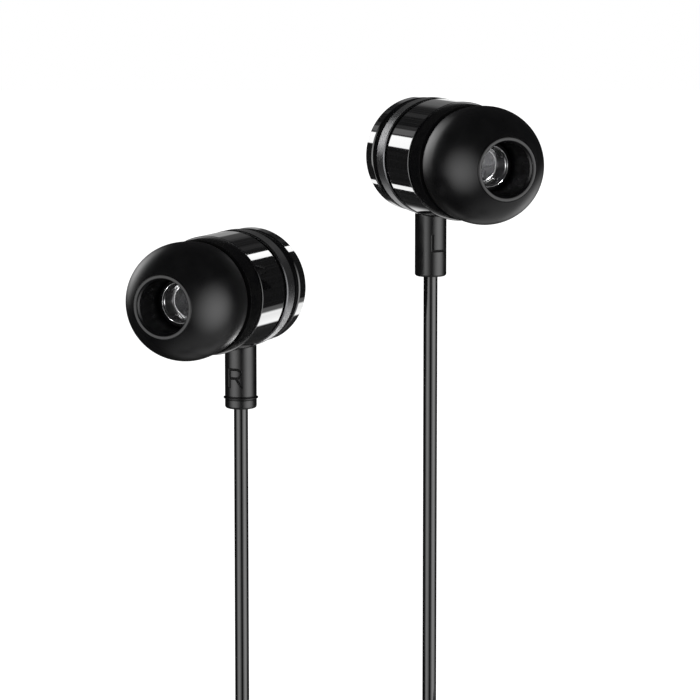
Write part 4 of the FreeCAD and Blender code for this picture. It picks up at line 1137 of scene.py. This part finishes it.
def addGlow(tree, strength):
    # Light that other rays pass through
    both = addNode(tree, "ShaderNodeAddShader", {
        0: addNode(tree, "ShaderNodeEmission", {"Strength": strength}).outputs[0],
        1: addNode(tree, "ShaderNodeBsdfTransparent").outputs[0],
    })
    addNode(tree, "ShaderNodeOutputMaterial", {0: both.outputs[0]})


def stagePanel(name, bm):
    mesh = bpy.data.meshes.new(name)
    bm.to_mesh(mesh)
    bm.free()
    panel = bpy.data.objects.new(name, mesh)
    scene.collection.objects.link(panel)
    for ray in ("camera", "diffuse", "shadow", "transmission", "volume_scatter"):
        setattr(panel, f"visible_{ray}", False)
    material, tree = newNodes(name)
    mesh.materials.append(material)
    return panel, tree, partsOf(tree, objectPlace(tree))


def lightOnly(panel, receivers):
    lit = bpy.data.collections.new(panel.name)
    for piece in receivers:
        lit.objects.link(bpy.data.objects[piece])
    panel.light_linking.receiver_collection = lit


def makeSoftbox(name, azimuth, elevation, width, height, light, receiver):
    azimuth, elevation = math.radians(azimuth), math.radians(elevation)
    direction = Vector((math.sin(azimuth) * math.cos(elevation), math.cos(azimuth) * math.cos(elevation),
                        math.sin(elevation)))
    bm = bmesh.new()
    bmesh.ops.create_grid(bm, x_segments=1, y_segments=1, size=1.0)
    panel, tree, parts = stagePanel(name, bm)
    panel.rotation_mode = "QUATERNION"
    panel.rotation_quaternion = direction.to_track_quat("Z", "Y")
    panel.location = Vector(softboxes["middle"]) * mm + direction
    panel.scale = (math.tan(math.radians(width / 2)), math.tan(math.radians(height / 2)), 1)
    away = squares(tree, parts[0], parts[1])
    fade = mathNode(tree, "POWER", math.exp(-softboxes["falloff"]), away)
    fade = mathNode(tree, "MULTIPLY", fade, ranged(tree, away, *softboxes["fade"], 1.0, 0.0))
    addGlow(tree, mathNode(tree, "MULTIPLY", fade, light))
    if receiver:
        lightOnly(panel, [receiver])


def makeStrips(side, kind):
    setup = strips[kind][side]
    distance = strips["distance"] + strips[kind]["further"]
    segments = strips["segments"]
    turns = [2 * math.pi * k / segments for k in range(segments)]
    bm = bmesh.new()
    rings = []
    for spread in (strips["inner"], strips["outer"]):
        reach = distance * math.tan(math.radians(spread))
        rings.append([bm.verts.new((reach * math.cos(t), reach * math.sin(t), 0)) for t in turns])
    skin(bm, rings)
    panel, tree, parts = stagePanel(side + kind, bm)
    panel.matrix_world = places[side] @ Matrix.Translation((0, 0, strips["station"] * mm + distance))
    outward = mathNode(tree, "MULTIPLY", parts[0], -1.0 if side == "right" else 1.0)
    turn = mathNode(tree, "DEGREES", mathNode(tree, "ARCTAN2", parts[1], outward))
    streaks = addNode(tree, "ShaderNodeTexNoise", {"W": turn, **strips["streakNoise"]}, noise_dimensions="1D")
    strength = ranged(tree, streaks.outputs[0], *strips["streakSpan"], setup["dark"],
                      setup["dark"] + strips["streaks"])
    for middle, half, edge, light in setup["strips"]:
        away = mathNode(tree, "WRAP", mathNode(tree, "SUBTRACT", turn, middle), 180.0, -180.0)
        away = mathNode(tree, "ABSOLUTE", away)
        strength = mathNode(tree, "ADD", strength, ranged(tree, away, half, half + edge, light, 0.0))
    addGlow(tree, strength)
    lightOnly(panel, [f"{side}_{piece}" for piece in strips[kind]["lit"]])


makeFloor()
makeWorld()
for name, setup in softboxes["boxes"].items():
    makeSoftbox(name, *setup)
for side in sides:
    for kind in ("MirrorStrips", "SatinStrips"):
        makeStrips(side, kind)
print("studio lit")
